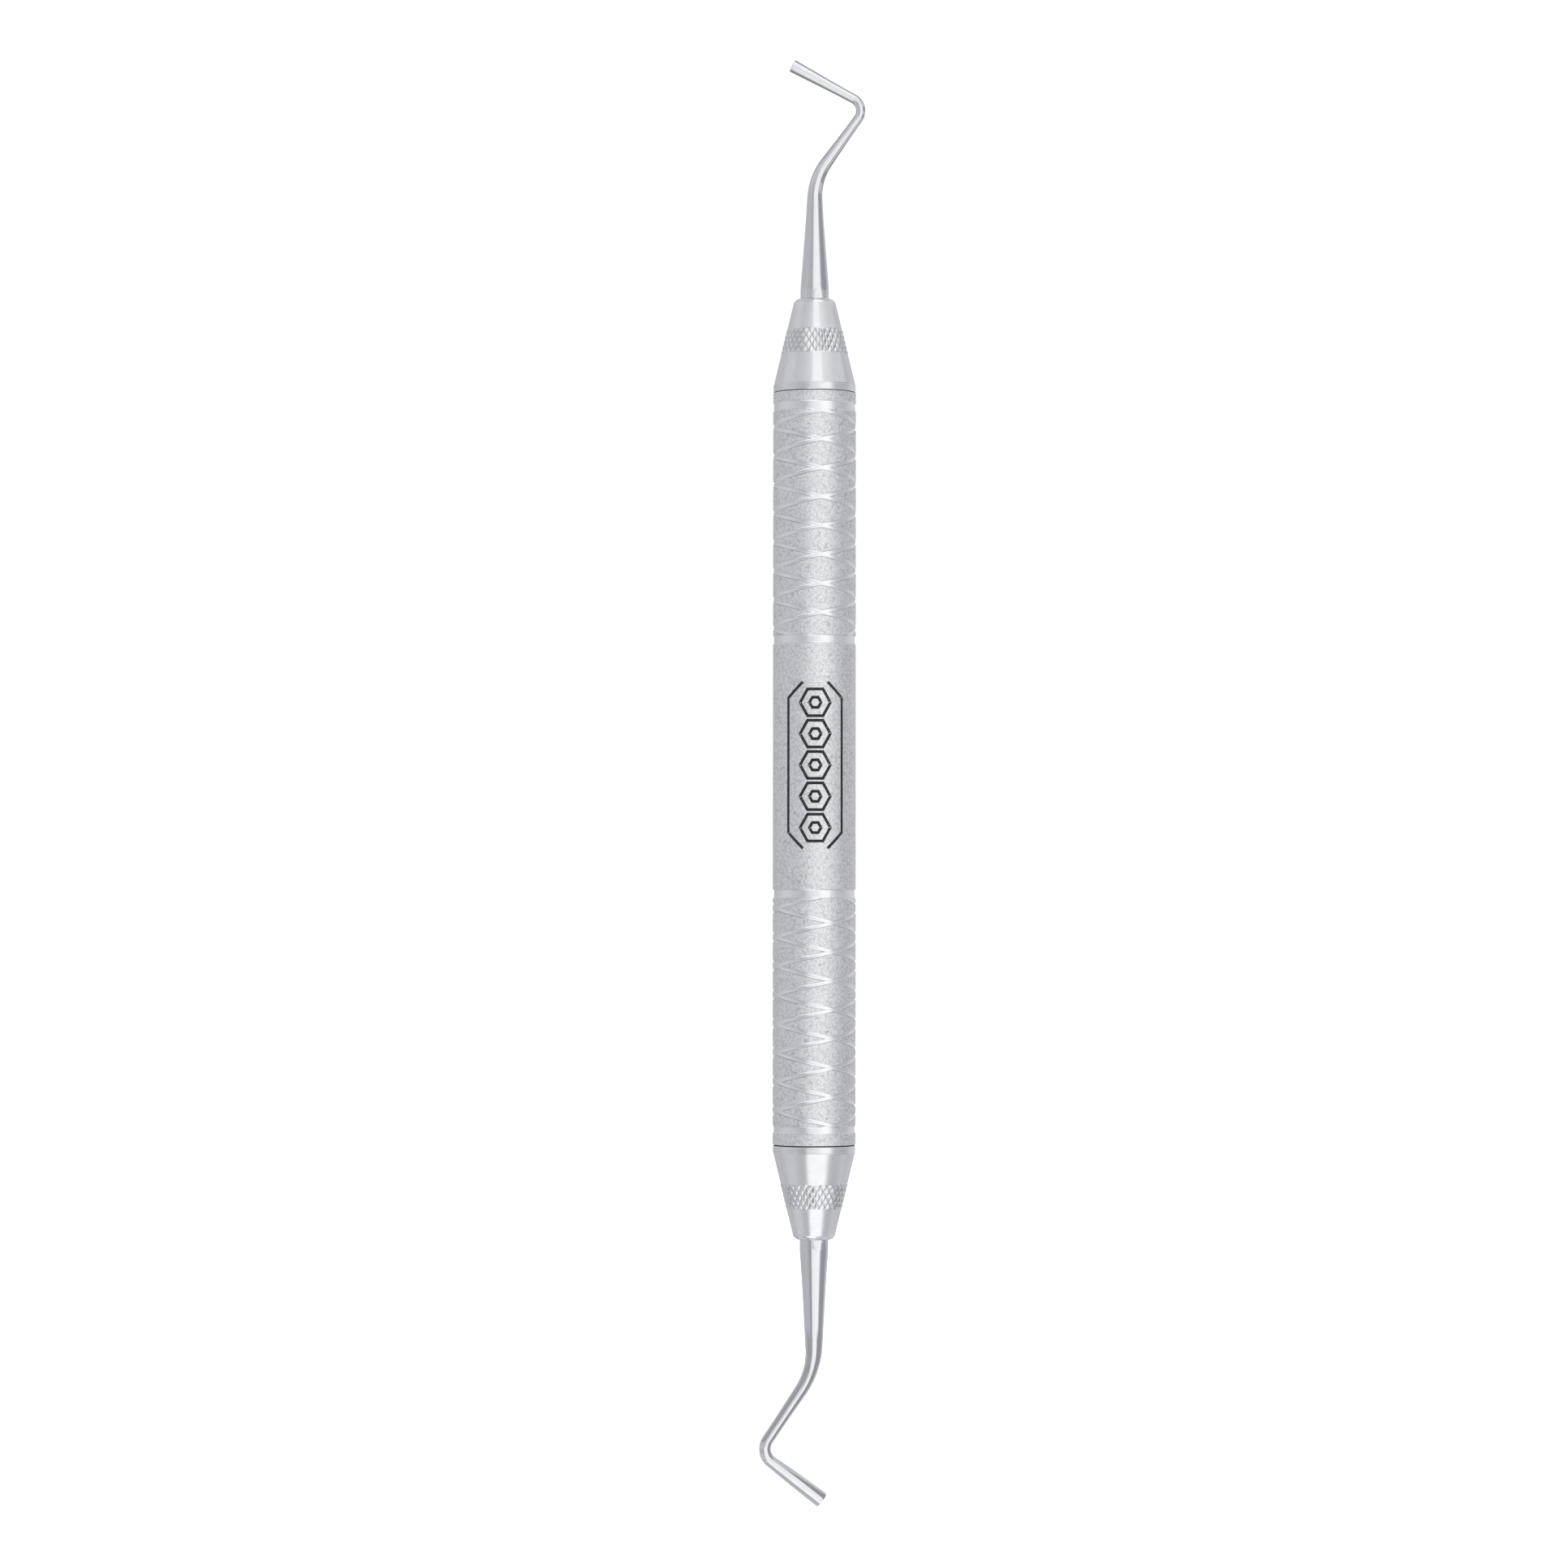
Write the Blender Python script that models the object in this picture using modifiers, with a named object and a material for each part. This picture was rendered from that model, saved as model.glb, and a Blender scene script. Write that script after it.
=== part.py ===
"""Double-ended dental condenser with a hollow handle and two screw-out cones.

The handle's axis is world Z and its middle is the world origin. Both ends are made from the
same local frame: local Z = 0 is the seam between handle and cone, and local +Z points away
from the handle. The upper end's frame is an empty at +HALF_LENGTH, and the lower end's frame
is an empty at -HALF_LENGTH that is turned half a turn about X. The cones screw out along Z.
"""

import math
from collections import namedtuple

import bmesh
import bpy
from mathutils import Matrix, Vector

MM = 0.001
MERGE = 1e-7  # vertices closer than this are one vertex
FACE_GAP = 0.01 * MM  # keeps faces that would otherwise coincide apart
SMOOTH_ANGLE = math.radians(35)

# Handle, in metres.
HALF_LENGTH = 45.39 * MM  # from the middle of the handle to the middle of a seam
SEAM = 0.16 * MM  # gap between the tube's end and the cone's shoulder
TUBE_RADIUS = 5.0 * MM
TUBE_BORE_RADIUS = 4.3 * MM
TUBE_EDGE = 0.08 * MM
TUBE_FACETS = 36
# Middle height, width and depth of each polished ring groove.
RING_GROOVES = (
    (43.56 * MM, 1.06 * MM, 0.10 * MM),
    (15.50 * MM, 0.98 * MM, 0.12 * MM),
    (-15.16 * MM, 1.13 * MM, 0.16 * MM),
    (-43.48 * MM, 0.93 * MM, 0.12 * MM),
)
GROOVE_EDGE = 0.07 * MM

# Screw thread between bush and cone: M6 x 1, right hand.
PITCH = 1.0 * MM
THREAD_STEPS = 18
THREAD_START = math.radians(3.0)  # keeps the thread's facets off those of the turned bodies
MALE_ROOT = 2.40 * MM
MALE_CREST = 3.0 * MM
ROOT_HALF_WIDTH = 0.40 * MM
CREST_HALF_WIDTH = 0.07 * MM
RADIAL_PLAY = 0.08 * MM
FLANK_PLAY = 0.05 * MM
THREAD_BOTTOM = -7.6 * MM  # the helix runs from here up past the top of the bush
THREAD_TURNS = 8
BUSH_THREAD_SINK = 0.02 * MM  # depth of the bush's thread cutter below the thread's root
CONE_THREAD_SINK = 0.15 * MM  # depth of the spigot's ridge below the thread's root

# Threaded bush, pressed into the tube. Depths are measured inwards from the seam.
BUSH_TOP = 1.2 * MM
BUSH_LENGTH = 5.6 * MM
BUSH_RADIUS = TUBE_BORE_RADIUS - 0.02 * MM
BUSH_BORE = 2.50 * MM
BUSH_CHAMFER = 0.35 * MM

# Seal ring.
SEAL_RADIUS = 4.78 * MM
SEAL_INNER_RADIUS = 4.26 * MM
SEAL_THICKNESS = SEAM - 0.04 * MM

# Cone, with its spigot inside the handle.
CONE_BASE_RADIUS = 4.98 * MM
CONE_LAND = 0.85 * MM  # nearly straight band next to the seam
CONE_LAND_RADIUS = 4.94 * MM
CONE_SLOPE = 0.2405  # radius lost per length
NOSE_HEIGHT = 11.37 * MM
NOSE_EDGE = 0.85 * MM
NOSE_STEPS = 4
KNURL_FROM = 4.58 * MM
KNURL_TO = 7.62 * MM
KNURL_PROUD = 0.07 * MM
KNURL_EDGE = 0.10 * MM
PILOT_RADIUS = 4.20 * MM
PILOT_LENGTH = 0.95 * MM
NECK_LENGTH = 0.5 * MM
NECK_RADIUS = 2.30 * MM
SPIGOT_LENGTH = 6.0 * MM
SPIGOT_EDGE = 0.1 * MM
THREAD_RUN_OUT = 0.5 * MM  # length over which the thread fades next to the neck
THREAD_LEAD_IN = 0.8 * MM  # length over which the thread rises at the spigot's free end
THREAD_MARGIN = 0.05 * MM
SHANK_BORE = 1.80 * MM
SHANK_BORE_DEPTH = 8.4 * MM

# Shanks and tips. Distances run along the centreline from the seam.
TANG_LENGTH = 8.2 * MM  # part of the shank that sits in the cone
SHANK_SIDES = 16
ARC_STEP = math.radians(12)
STATION_GAP = 0.2 * MM  # least distance between two points of a centreline
FLAT_REACH = 1.65 * MM  # flat on the shank, from the cone's nose to its run-out
FLAT_DEPTH = 0.075 * MM
FLAT_SIDE = math.radians(13)  # from the front, towards world +X
FLAT_CUTTER_SIZE = 4.0 * MM

# Each end: the first corner's height, then each bend's angle and radius, and the length of the
# straight that follows it, corner to corner. Diameters are at distances from the seam, measured
# along the centreline with its corners unrounded. The swing turns the end's plane about local Z,
# and the flat's side is an angle about local Z from local -Y.
EndShape = namedtuple("EndShape", "first_corner bends diameters swing flat_side")
UPPER_END = EndShape(
    first_corner=25.99 * MM,
    bends=(
        (math.radians(35.8), 7.5 * MM, 10.87 * MM),
        (math.radians(-97.4), 1.67 * MM, 10.29 * MM),
    ),
    diameters=(
        (12.5 * MM, 3.43 * MM),
        (24.3 * MM, 1.76 * MM),
        (28.2 * MM, 1.47 * MM),
        (34.1 * MM, 1.14 * MM),
        (38.4 * MM, 1.12 * MM),
        (47.15 * MM, 1.55 * MM),
    ),
    swing=0.0,
    flat_side=FLAT_SIDE,
)
LOWER_END = EndShape(
    first_corner=27.13 * MM,
    bends=(
        (math.radians(-34.4), 9.0 * MM, 11.75 * MM),
        (math.radians(87.1), 1.95 * MM, 9.57 * MM),
    ),
    diameters=(
        (12.6 * MM, 3.45 * MM),
        (17.3 * MM, 2.82 * MM),
        (24.3 * MM, 2.07 * MM),
        (27.1 * MM, 1.76 * MM),
        (30.1 * MM, 1.60 * MM),
        (35.8 * MM, 1.43 * MM),
        (39.8 * MM, 1.44 * MM),
        (44.3 * MM, 1.76 * MM),
        (48.45 * MM, 1.95 * MM),
    ),
    swing=math.radians(-8.5),
    flat_side=math.pi - FLAT_SIDE,
)


def clear_scene():
    for thing in list(bpy.data.objects):
        bpy.data.objects.remove(thing, do_unlink=True)


def new_collection(name):
    collection = bpy.data.collections.new(name)
    bpy.context.scene.collection.children.link(collection)
    return collection


def new_material(name, colour, metallic, roughness):
    material = bpy.data.materials.new(name)
    material.use_nodes = True
    shader = material.node_tree.nodes["Principled BSDF"]
    shader.inputs["Base Color"].default_value = (*colour, 1.0)
    shader.inputs["Metallic"].default_value = metallic
    shader.inputs["Roughness"].default_value = roughness
    material.diffuse_color = (*colour, 1.0)
    return material


def end_frame(name, height, turn, collection):
    """An empty on a screw axis, with local Z = 0 at the seam."""
    empty = bpy.data.objects.new(name, None)
    empty.location = (0.0, 0.0, height)
    empty.rotation_euler = (turn, 0.0, 0.0)
    collection.objects.link(empty)
    return empty


def make_cutter(thing):
    """Mark a helper solid, which isn't a piece of the object."""
    thing.hide_render = True
    thing.display_type = "WIRE"


def smooth(mesh):
    mesh.shade_smooth()
    mesh.set_sharp_from_angle(angle=SMOOTH_ANGLE)


def add_screw(thing, facets, turns=1, rise=0.0):
    screw = thing.modifiers.new("turn", "SCREW")
    screw.axis = "Z"
    screw.steps = facets
    screw.render_steps = facets
    screw.iterations = turns
    screw.screw_offset = rise
    screw.use_merge_vertices = rise == 0.0
    screw.merge_threshold = MERGE


def profile_object(name, points, collection, closed):
    """Wire outline in the XZ plane: each point is (radius, height)."""
    mesh = bpy.data.meshes.new(name)
    edges = [(i, i + 1) for i in range(len(points) - 1)]
    if closed:
        edges.append((len(points) - 1, 0))
    mesh.from_pydata([(r, 0.0, z) for r, z in points], edges, [])
    thing = bpy.data.objects.new(name, mesh)
    collection.objects.link(thing)
    return thing


def evaluated_mesh(thing):
    graph = bpy.context.evaluated_depsgraph_get()
    return bpy.data.meshes.new_from_object(thing.evaluated_get(graph), depsgraph=graph)


def to_mesh_object(thing, collection):
    """Swap a curve or an unfinished modifier stack for a plain mesh in the same place."""
    bpy.context.view_layer.update()
    mesh = evaluated_mesh(thing)
    edit = bmesh.new()
    edit.from_mesh(mesh)
    bmesh.ops.remove_doubles(edit, verts=edit.verts, dist=MERGE)
    bmesh.ops.holes_fill(edit, edges=[edge for edge in edit.edges if edge.is_boundary])
    bmesh.ops.recalc_face_normals(edit, faces=edit.faces)
    edit.to_mesh(mesh)
    edit.free()
    name = thing.name
    place = thing.matrix_world.copy()
    bpy.data.objects.remove(thing, do_unlink=True)
    solid = bpy.data.objects.new(name, mesh)
    solid.matrix_world = place
    collection.objects.link(solid)
    return solid


def boolean(thing, other, operation):
    modifier = thing.modifiers.new(other.name, "BOOLEAN")
    modifier.operation = operation
    modifier.solver = "EXACT"
    modifier.object = other


def turned(name, points, facets, collection, closed=True):
    """A turned solid. The outline runs down its outer side and up its bore."""
    thing = profile_object(name, points, collection, closed)
    add_screw(thing, facets)
    return to_mesh_object(thing, collection)


def thread_ridge(name, sunk, radial_play, flank_play, collection):
    """Helical ridge of the thread, from a little above the spigot's neck to below the bush."""
    slope = (ROOT_HALF_WIDTH - CREST_HALF_WIDTH) / (MALE_CREST - MALE_ROOT)
    crest = MALE_CREST + radial_play
    base = ROOT_HALF_WIDTH + slope * (MALE_ROOT - sunk) + flank_play
    top = CREST_HALF_WIDTH + flank_play
    outline = [(crest, top), (crest, -top), (sunk, -base), (sunk, base)]
    thing = profile_object(name, outline, collection, closed=True)
    add_screw(thing, THREAD_STEPS, THREAD_TURNS, PITCH)
    ridge = to_mesh_object(thing, collection)
    lift = Matrix.Translation((0.0, 0.0, THREAD_BOTTOM))
    ridge.data.transform(lift @ Matrix.Rotation(THREAD_START, 4, "Z"))
    return ridge


def threaded_bush(name, frame, material, parts, cutters):
    top = -BUSH_TOP
    bottom = top - BUSH_LENGTH
    edge = BUSH_CHAMFER
    outline = [
        (BUSH_BORE + edge, top),
        (BUSH_RADIUS, top),
        (BUSH_RADIUS, bottom + edge),
        (BUSH_RADIUS - edge, bottom),
        (BUSH_BORE + edge, bottom),
        (BUSH_BORE, bottom + edge),
        (BUSH_BORE, top - edge),
    ]
    bush = turned(name, outline, TUBE_FACETS, parts)
    sunk = MALE_ROOT - BUSH_THREAD_SINK
    groove = thread_ridge(name + "_thread", sunk, RADIAL_PLAY, FLANK_PLAY, cutters)
    make_cutter(groove)
    boolean(bush, groove, "DIFFERENCE")
    finish_piece(bush, material, frame)
    groove.parent = frame


def nose_arc(radius, height):
    """Quarter-round from the taper to the flat around the shank, widest point first."""
    tilt = math.atan(CONE_SLOPE)
    turn = math.pi / 2 - tilt
    centre_r = radius - NOSE_EDGE * math.cos(tilt)
    centre_z = height - NOSE_EDGE
    angles = [tilt + turn * step / NOSE_STEPS for step in range(NOSE_STEPS + 1)]
    return [
        (centre_r + NOSE_EDGE * math.cos(a), centre_z + NOSE_EDGE * math.sin(a)) for a in angles
    ]


def cone_radius(height):
    return CONE_LAND_RADIUS - CONE_SLOPE * (height - CONE_LAND)


def cone_outline():
    """Outer side from nose to spigot end, then the axis and the shank's blind bore."""
    shoulder = SEAM / 2
    tilt = math.atan(CONE_SLOPE)
    arc_top = NOSE_HEIGHT - NOSE_EDGE + NOSE_EDGE * math.sin(tilt)
    arc = nose_arc(cone_radius(arc_top), NOSE_HEIGHT)
    proud = KNURL_PROUD
    neck_end = -PILOT_LENGTH - NECK_LENGTH
    spigot_end = -SPIGOT_LENGTH
    return (
        [(SHANK_BORE, NOSE_HEIGHT)]
        + arc[::-1]
        + [
            (cone_radius(KNURL_TO), KNURL_TO),
            (cone_radius(KNURL_TO) + proud, KNURL_TO - KNURL_EDGE),
            (cone_radius(KNURL_FROM) + proud, KNURL_FROM + KNURL_EDGE),
            (cone_radius(KNURL_FROM), KNURL_FROM),
            (CONE_LAND_RADIUS, CONE_LAND),
            (CONE_BASE_RADIUS, shoulder + TUBE_EDGE),
            (CONE_BASE_RADIUS - TUBE_EDGE, shoulder),
            (PILOT_RADIUS, shoulder),
            (PILOT_RADIUS, -PILOT_LENGTH),
            (NECK_RADIUS, -PILOT_LENGTH),
            (NECK_RADIUS, neck_end),
            (MALE_ROOT, neck_end),
            (MALE_ROOT, spigot_end + SPIGOT_EDGE),
            (MALE_ROOT - SPIGOT_EDGE, spigot_end),
            (0.0, spigot_end),
            (0.0, NOSE_HEIGHT - SHANK_BORE_DEPTH),
            (SHANK_BORE, NOSE_HEIGHT - SHANK_BORE_DEPTH),
        ]
    )


def threaded_cone(name, frame, material, parts, cutters):
    cone = turned(name, cone_outline(), TUBE_FACETS, parts)
    top = -PILOT_LENGTH - NECK_LENGTH
    bottom = -SPIGOT_LENGTH
    wide = MALE_CREST + THREAD_MARGIN
    envelope = [
        (0.0, top - FACE_GAP),
        (NECK_RADIUS, top - FACE_GAP),
        (wide, top - THREAD_RUN_OUT),
        (wide, bottom + THREAD_LEAD_IN),
        (NECK_RADIUS, bottom + THREAD_MARGIN),
        (0.0, bottom + THREAD_MARGIN),
    ]
    blank = turned(name + "_thread_blank", envelope, TUBE_FACETS, cutters, closed=False)
    ridge = thread_ridge(name + "_thread", MALE_ROOT - CONE_THREAD_SINK, 0.0, 0.0, cutters)
    boolean(ridge, blank, "INTERSECT")
    boolean(cone, ridge, "UNION")
    for helper in (blank, ridge):
        make_cutter(helper)
        helper.parent = frame
    finish_piece(cone, material, frame)


def finish_piece(piece, material, frame):
    piece.data.materials.append(material)
    smooth(piece.data)
    piece.parent = frame


def corner_path(first_corner, bends):
    """Corner points of a shank's centreline in the XZ plane, starting inside the cone."""
    points = [Vector((0.0, 0.0, NOSE_HEIGHT - TANG_LENGTH)), Vector((0.0, 0.0, first_corner))]
    heading = 0.0
    for bend_angle, _, length in bends:
        heading += bend_angle
        points.append(points[-1] + length * Vector((math.sin(heading), 0.0, math.cos(heading))))
    return points


def rounded_path(corners, bends):
    """(point, distance) along the centreline. Distance is measured corner to corner."""
    path = [(corners[0], corners[0].z)]
    along = corners[1].z
    for corner, previous, following, (bend_angle, radius, length) in zip(
        corners[1:-1], corners[:-2], corners[2:], bends
    ):
        inward = (previous - corner).normalized()
        onward = (following - corner).normalized()
        reach = radius * math.tan(abs(bend_angle) / 2)
        to_centre = (inward + onward).normalized() * radius / math.cos(abs(bend_angle) / 2)
        centre = corner + to_centre
        start = corner + inward * reach - centre
        steps = math.ceil(abs(bend_angle) / ARC_STEP)
        for step in range(steps + 1):
            share = step / steps
            turn = Matrix.Rotation(bend_angle * share, 3, "Y")
            path.append((centre + turn @ start, along + (2 * share - 1) * reach))
        along += length
    path.append((corners[-1], along))
    return path


def diameter_at(distance, stations):
    if distance <= stations[0][0]:
        return stations[0][1]
    for (low, first), (high, second) in zip(stations[:-1], stations[1:]):
        if distance <= high:
            return first + (second - first) * (distance - low) / (high - low)
    return stations[-1][1]


def with_stations(path, stations):
    """Add a point on the centreline at each station that lies between two path points."""
    full = list(path)
    for distance, _ in stations:
        for (low_point, low), (high_point, high) in zip(path[:-1], path[1:]):
            if low + STATION_GAP < distance < high - STATION_GAP:
                share = (distance - low) / (high - low)
                full.append((low_point.lerp(high_point, share), distance))
    return sorted(full, key=lambda item: item[1])


def shank_curve(name, path, stations, collection):
    curve = bpy.data.curves.new(name, "CURVE")
    curve.dimensions = "3D"
    curve.bevel_depth = 1.0 * MM
    curve.bevel_resolution = (SHANK_SIDES - 4) // 2
    curve.use_fill_caps = True
    spline = curve.splines.new("POLY")
    spline.points.add(len(path) - 1)
    for point, (place, distance) in zip(spline.points, path):
        point.co = (*place, 1.0)
        point.radius = diameter_at(distance, stations) / 2 / curve.bevel_depth
    thing = bpy.data.objects.new(name, curve)
    collection.objects.link(thing)
    return thing


def flat_cutter(name, radius, side, collection):
    """A box whose near face leans out of the shank, so that the flat fades out."""
    mesh = bpy.data.meshes.new(name)
    edit = bmesh.new()
    bmesh.ops.create_cube(edit, size=FLAT_CUTTER_SIZE)
    edit.to_mesh(mesh)
    edit.free()
    box = bpy.data.objects.new(name, mesh)
    lean = math.atan(FLAT_DEPTH / FLAT_REACH)
    run_out = Vector((0.0, -radius, NOSE_HEIGHT + FLAT_REACH))
    middle = Vector((0.0, -FLAT_CUTTER_SIZE / 2, -FLAT_CUTTER_SIZE / 2))
    tilt = Matrix.Rotation(-lean, 4, "X")
    turn = Matrix.Rotation(side, 4, "Z")
    box.matrix_world = turn @ Matrix.Translation(run_out) @ tilt @ Matrix.Translation(middle)
    collection.objects.link(box)
    make_cutter(box)
    return box


def working_end(name, frame, shape, material, parts, cutters):
    corners = corner_path(shape.first_corner, shape.bends)
    path = with_stations(rounded_path(corners, shape.bends), shape.diameters)
    curve = shank_curve(name, path, shape.diameters, parts)
    shank = to_mesh_object(curve, parts)
    shank.data.transform(Matrix.Rotation(shape.swing, 4, "Z"))
    box = flat_cutter(name + "_flat", shape.diameters[0][1] / 2, shape.flat_side, cutters)
    box.parent = frame
    boolean(shank, box, "DIFFERENCE")
    finish_piece(shank, material, frame)


def groove_outline(middle, width, depth):
    """Outer side of one ring groove, top to bottom."""
    high = middle + width / 2
    low = middle - width / 2
    floor = TUBE_RADIUS - depth
    return [
        (TUBE_RADIUS, high),
        (floor, high - GROOVE_EDGE),
        (floor, low + GROOVE_EDGE),
        (TUBE_RADIUS, low),
    ]


def handle_tube(material, parts):
    end = HALF_LENGTH - SEAM / 2
    outline = [(TUBE_BORE_RADIUS, end), (TUBE_RADIUS - TUBE_EDGE, end)]
    outline.append((TUBE_RADIUS, end - TUBE_EDGE))
    for middle, width, depth in RING_GROOVES:
        outline += groove_outline(middle, width, depth)
    outline.append((TUBE_RADIUS, -end + TUBE_EDGE))
    outline += [(TUBE_RADIUS - TUBE_EDGE, -end), (TUBE_BORE_RADIUS, -end)]
    tube = turned("handle_tube", outline, TUBE_FACETS, parts)
    tube.data.materials.append(material)
    smooth(tube.data)


def seal_ring(name, frame, material, parts):
    half = SEAL_THICKNESS / 2
    outline = [
        (SEAL_INNER_RADIUS, half),
        (SEAL_RADIUS, half),
        (SEAL_RADIUS, -half),
        (SEAL_INNER_RADIUS, -half),
    ]
    ring = turned(name, outline, TUBE_FACETS, parts)
    finish_piece(ring, material, frame)


def build():
    clear_scene()
    parts = new_collection("dental_hand_instrument")
    cutters = new_collection("cutters")
    blasted = new_material("blasted_steel", (0.66, 0.66, 0.68), 1.0, 0.45)
    polished = new_material("polished_steel", (0.72, 0.72, 0.74), 1.0, 0.18)
    machined = new_material("machined_steel", (0.62, 0.62, 0.64), 1.0, 0.32)
    silicone = new_material("black_silicone", (0.02, 0.02, 0.022), 0.0, 0.6)

    handle_tube(blasted, parts)
    upper = end_frame("upper_end", HALF_LENGTH, 0.0, parts)
    lower = end_frame("lower_end", -HALF_LENGTH, math.pi, parts)
    for side, frame in (("upper", upper), ("lower", lower)):
        threaded_bush(side + "_threaded_bush", frame, machined, parts, cutters)
        seal_ring(side + "_seal_ring", frame, silicone, parts)
        threaded_cone(side + "_cone", frame, polished, parts, cutters)
    working_end("upper_working_end", upper, UPPER_END, polished, parts, cutters)
    working_end("lower_working_end", lower, LOWER_END, polished, parts, cutters)


build()
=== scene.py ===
import math

import bmesh
import bpy
import numpy as np
from mathutils import Matrix, Vector


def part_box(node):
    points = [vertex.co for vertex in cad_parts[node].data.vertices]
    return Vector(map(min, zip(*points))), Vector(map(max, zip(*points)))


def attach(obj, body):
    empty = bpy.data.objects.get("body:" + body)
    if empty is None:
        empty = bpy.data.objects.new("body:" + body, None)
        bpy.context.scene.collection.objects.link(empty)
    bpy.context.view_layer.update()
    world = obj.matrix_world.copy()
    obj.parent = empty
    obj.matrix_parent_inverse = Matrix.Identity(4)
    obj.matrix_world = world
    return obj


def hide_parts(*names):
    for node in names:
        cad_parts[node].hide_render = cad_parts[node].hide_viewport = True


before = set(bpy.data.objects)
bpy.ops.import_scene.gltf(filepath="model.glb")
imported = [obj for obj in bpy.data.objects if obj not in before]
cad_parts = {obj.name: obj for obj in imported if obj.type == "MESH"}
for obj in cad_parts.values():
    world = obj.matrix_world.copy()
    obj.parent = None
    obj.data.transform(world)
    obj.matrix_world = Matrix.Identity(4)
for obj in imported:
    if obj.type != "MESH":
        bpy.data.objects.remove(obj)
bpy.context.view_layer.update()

MM = 0.001
TAU = 2 * math.pi

# ---------------- sizes in millimetres, angles in degrees

SEAM = 0.16  # gap between tube and cone, which the seal fills
SEAM_HEIGHT = (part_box("upper_seal_ring")[0].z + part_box("upper_seal_ring")[1].z) / 2 / MM
TUBE_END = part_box("handle_tube")[1].z / MM
TUBE_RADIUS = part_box("handle_tube")[1].x / MM
TUBE_BORE = 4.3  # radius
TUBE_EDGE = 0.08
# Rows of its rounded ends: out from the radius, in from the end.
END_ROWS = ((-TUBE_EDGE, 0.0), (-0.035, 0.012), (-0.01, 0.04), (0.0, TUBE_EDGE))
BORE_ROWS = 9
COLUMNS = 144  # points round a turned surface
RIM_WEAR = 0.6
ROW_STEP = 1.6  # between rows of points on the plain tube
ROW_MARGIN = 0.06  # from a groove or an end to the nearest row
SNAP = 0.004  # points this close to a cut are moved onto it

# Ring grooves: upper edge, lower edge, depth.
RINGS = ((44.09, 43.03, 0.10), (15.96, 14.88, 0.12), (-14.60, -15.73, 0.16), (-43.01, -43.94, 0.12))
WALL = 0.14  # width of a ring groove's concave wall
WALL_SHARES = (0.10, 0.28, 0.5, 0.75, 1.0)
WALL_RIM = 0.2  # share of the wall, next to its edge, that gets painted shade
WALL_FOOT = 0.05  # from the wall's foot to the floor's first row

# Helical grooves: two right-hand and two left-hand starts in each zone.
GROOVE_STARTS = 2
GROOVE_HALF_WIDTH = 0.27
GROOVE_DEPTH = 0.10
GROOVE_FLATNESS = 5  # a higher power gives a flatter floor and steeper walls
GROOVE_EDGE_LIGHT = 0.021  # reach of the painted highlight on a groove's upper edge and the painted shade on its lower edge, either side of the edge
GROOVE_POLISH = 0.12  # share of the depth from which a cut shines
GROOVE_MERGE = 0.3  # share of the depth from which one groove has taken the other's edge away
# Zone: distance between crossings, one crossing's angle and height.
ZONES = ((3.472, -81.0, 39.435), (3.468, -63.0, -18.615))
# Lines of points beside a groove's middle, and steps across the land between two grooves.
GROOVE_LINES = (0.08, 0.14, 0.18, 0.21, 0.235, 0.255, 0.27, 0.31)
LAND_STEPS = 8

# Etched motif: a column of double hexagons between two brackets, given as (across, along).
ETCH_LINE = 0.35
ETCH_PROUD = 0.004
ETCH_SUNK = 0.03
ETCH_STEP = 0.3
MOTIF_MIDDLE = (0.11, 0.26)
HEXAGON_COUNT = 5
HEXAGON_STEP = 3.75
HEXAGON_RADII = (1.85, 0.70)
BRACKET = ((1.5, 9.97), (3.47, 8.05), (3.47, -8.05), (1.5, -9.97))

# Cone, measured from the seam.
CONE_LAND = 0.85
CONE_LAND_RADIUS = 4.94
CONE_BASE_RADIUS = 4.98
CONE_SLOPE = 0.2405
LAND_LINE = 0.016  # depth of the fine line at the land's edge
NOSE_HEIGHT = 11.37
NOSE_EDGE = 0.85
NOSE_ARC_ROWS = 13
PLAIN_TOP = 10.4  # the plain rows above the knurling stop short of the nose's arc
KNURL = (4.58, 7.62)  # lower and upper edge
KNURL_STARTS = 30
KNURL_PITCH = 1.25
KNURL_CROSSING = (-90.0, 6.1)  # one crossing's angle and height
KNURL_PROUD = 0.07
KNURL_DEPTH = 0.125
KNURL_FADE = 0.22
KNURL_LINES = tuple(k / 12 for k in range(12))
KNURL_PEAK = 2 / 3  # the crest leans towards one side of each diamond
KNURL_FLAT = 0.97  # share of the rise at which the diamonds are blunted
KNURL_RUBBED = 0.9  # share of the rise above which they are rubbed bright
KNURL_PAINTED_SHADE = 0.4  # share of the rise below which the valleys get painted shade
CONE_LIP = {"upper": 0.065, "lower": 0.012}  # how far each cone's rim reaches over its seal
SEAL_RADIUS = 4.88
SEAL_BORE = 4.26  # radius
SEAL_PLAY = 0.04
PILOT = (4.20, -0.95)  # radius and end
NECK = (2.30, -1.45)  # radius and end
SPIGOT_END = -6.0
SPIGOT_EDGE = 0.1
CENTRE_HOLE = (0.4, 0.1, 0.25)  # radius at its mouth and at its bottom, depth
SHANK_BORE_DEPTH = 8.4
SHANK_GAP = 0.004

# Thread.
PITCH = 1.0
THREAD_ROOT = 2.40
THREAD_CREST = 3.0
THREAD_PHASE = -7.6 - 3.0 / 360  # height of a crest at angle 0
THREAD_FOOT = 0.40  # half the ridge's width at its foot
THREAD_FLANK = 0.33  # how much of that one flank takes
THREAD_LINES = (0.0, 0.07, 0.235, 0.40, 0.5, 0.60, 0.765, 0.93)
THREAD_COLUMNS = 96
THREAD_RUNOUT = 0.5  # length over which the thread fades into the neck
THREAD_LEAD = 0.8  # height of the chamfer at the spigot's end
THREAD_SPARE = 0.05  # margin of the run-out and the chamfer beyond the crest and the end

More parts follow.
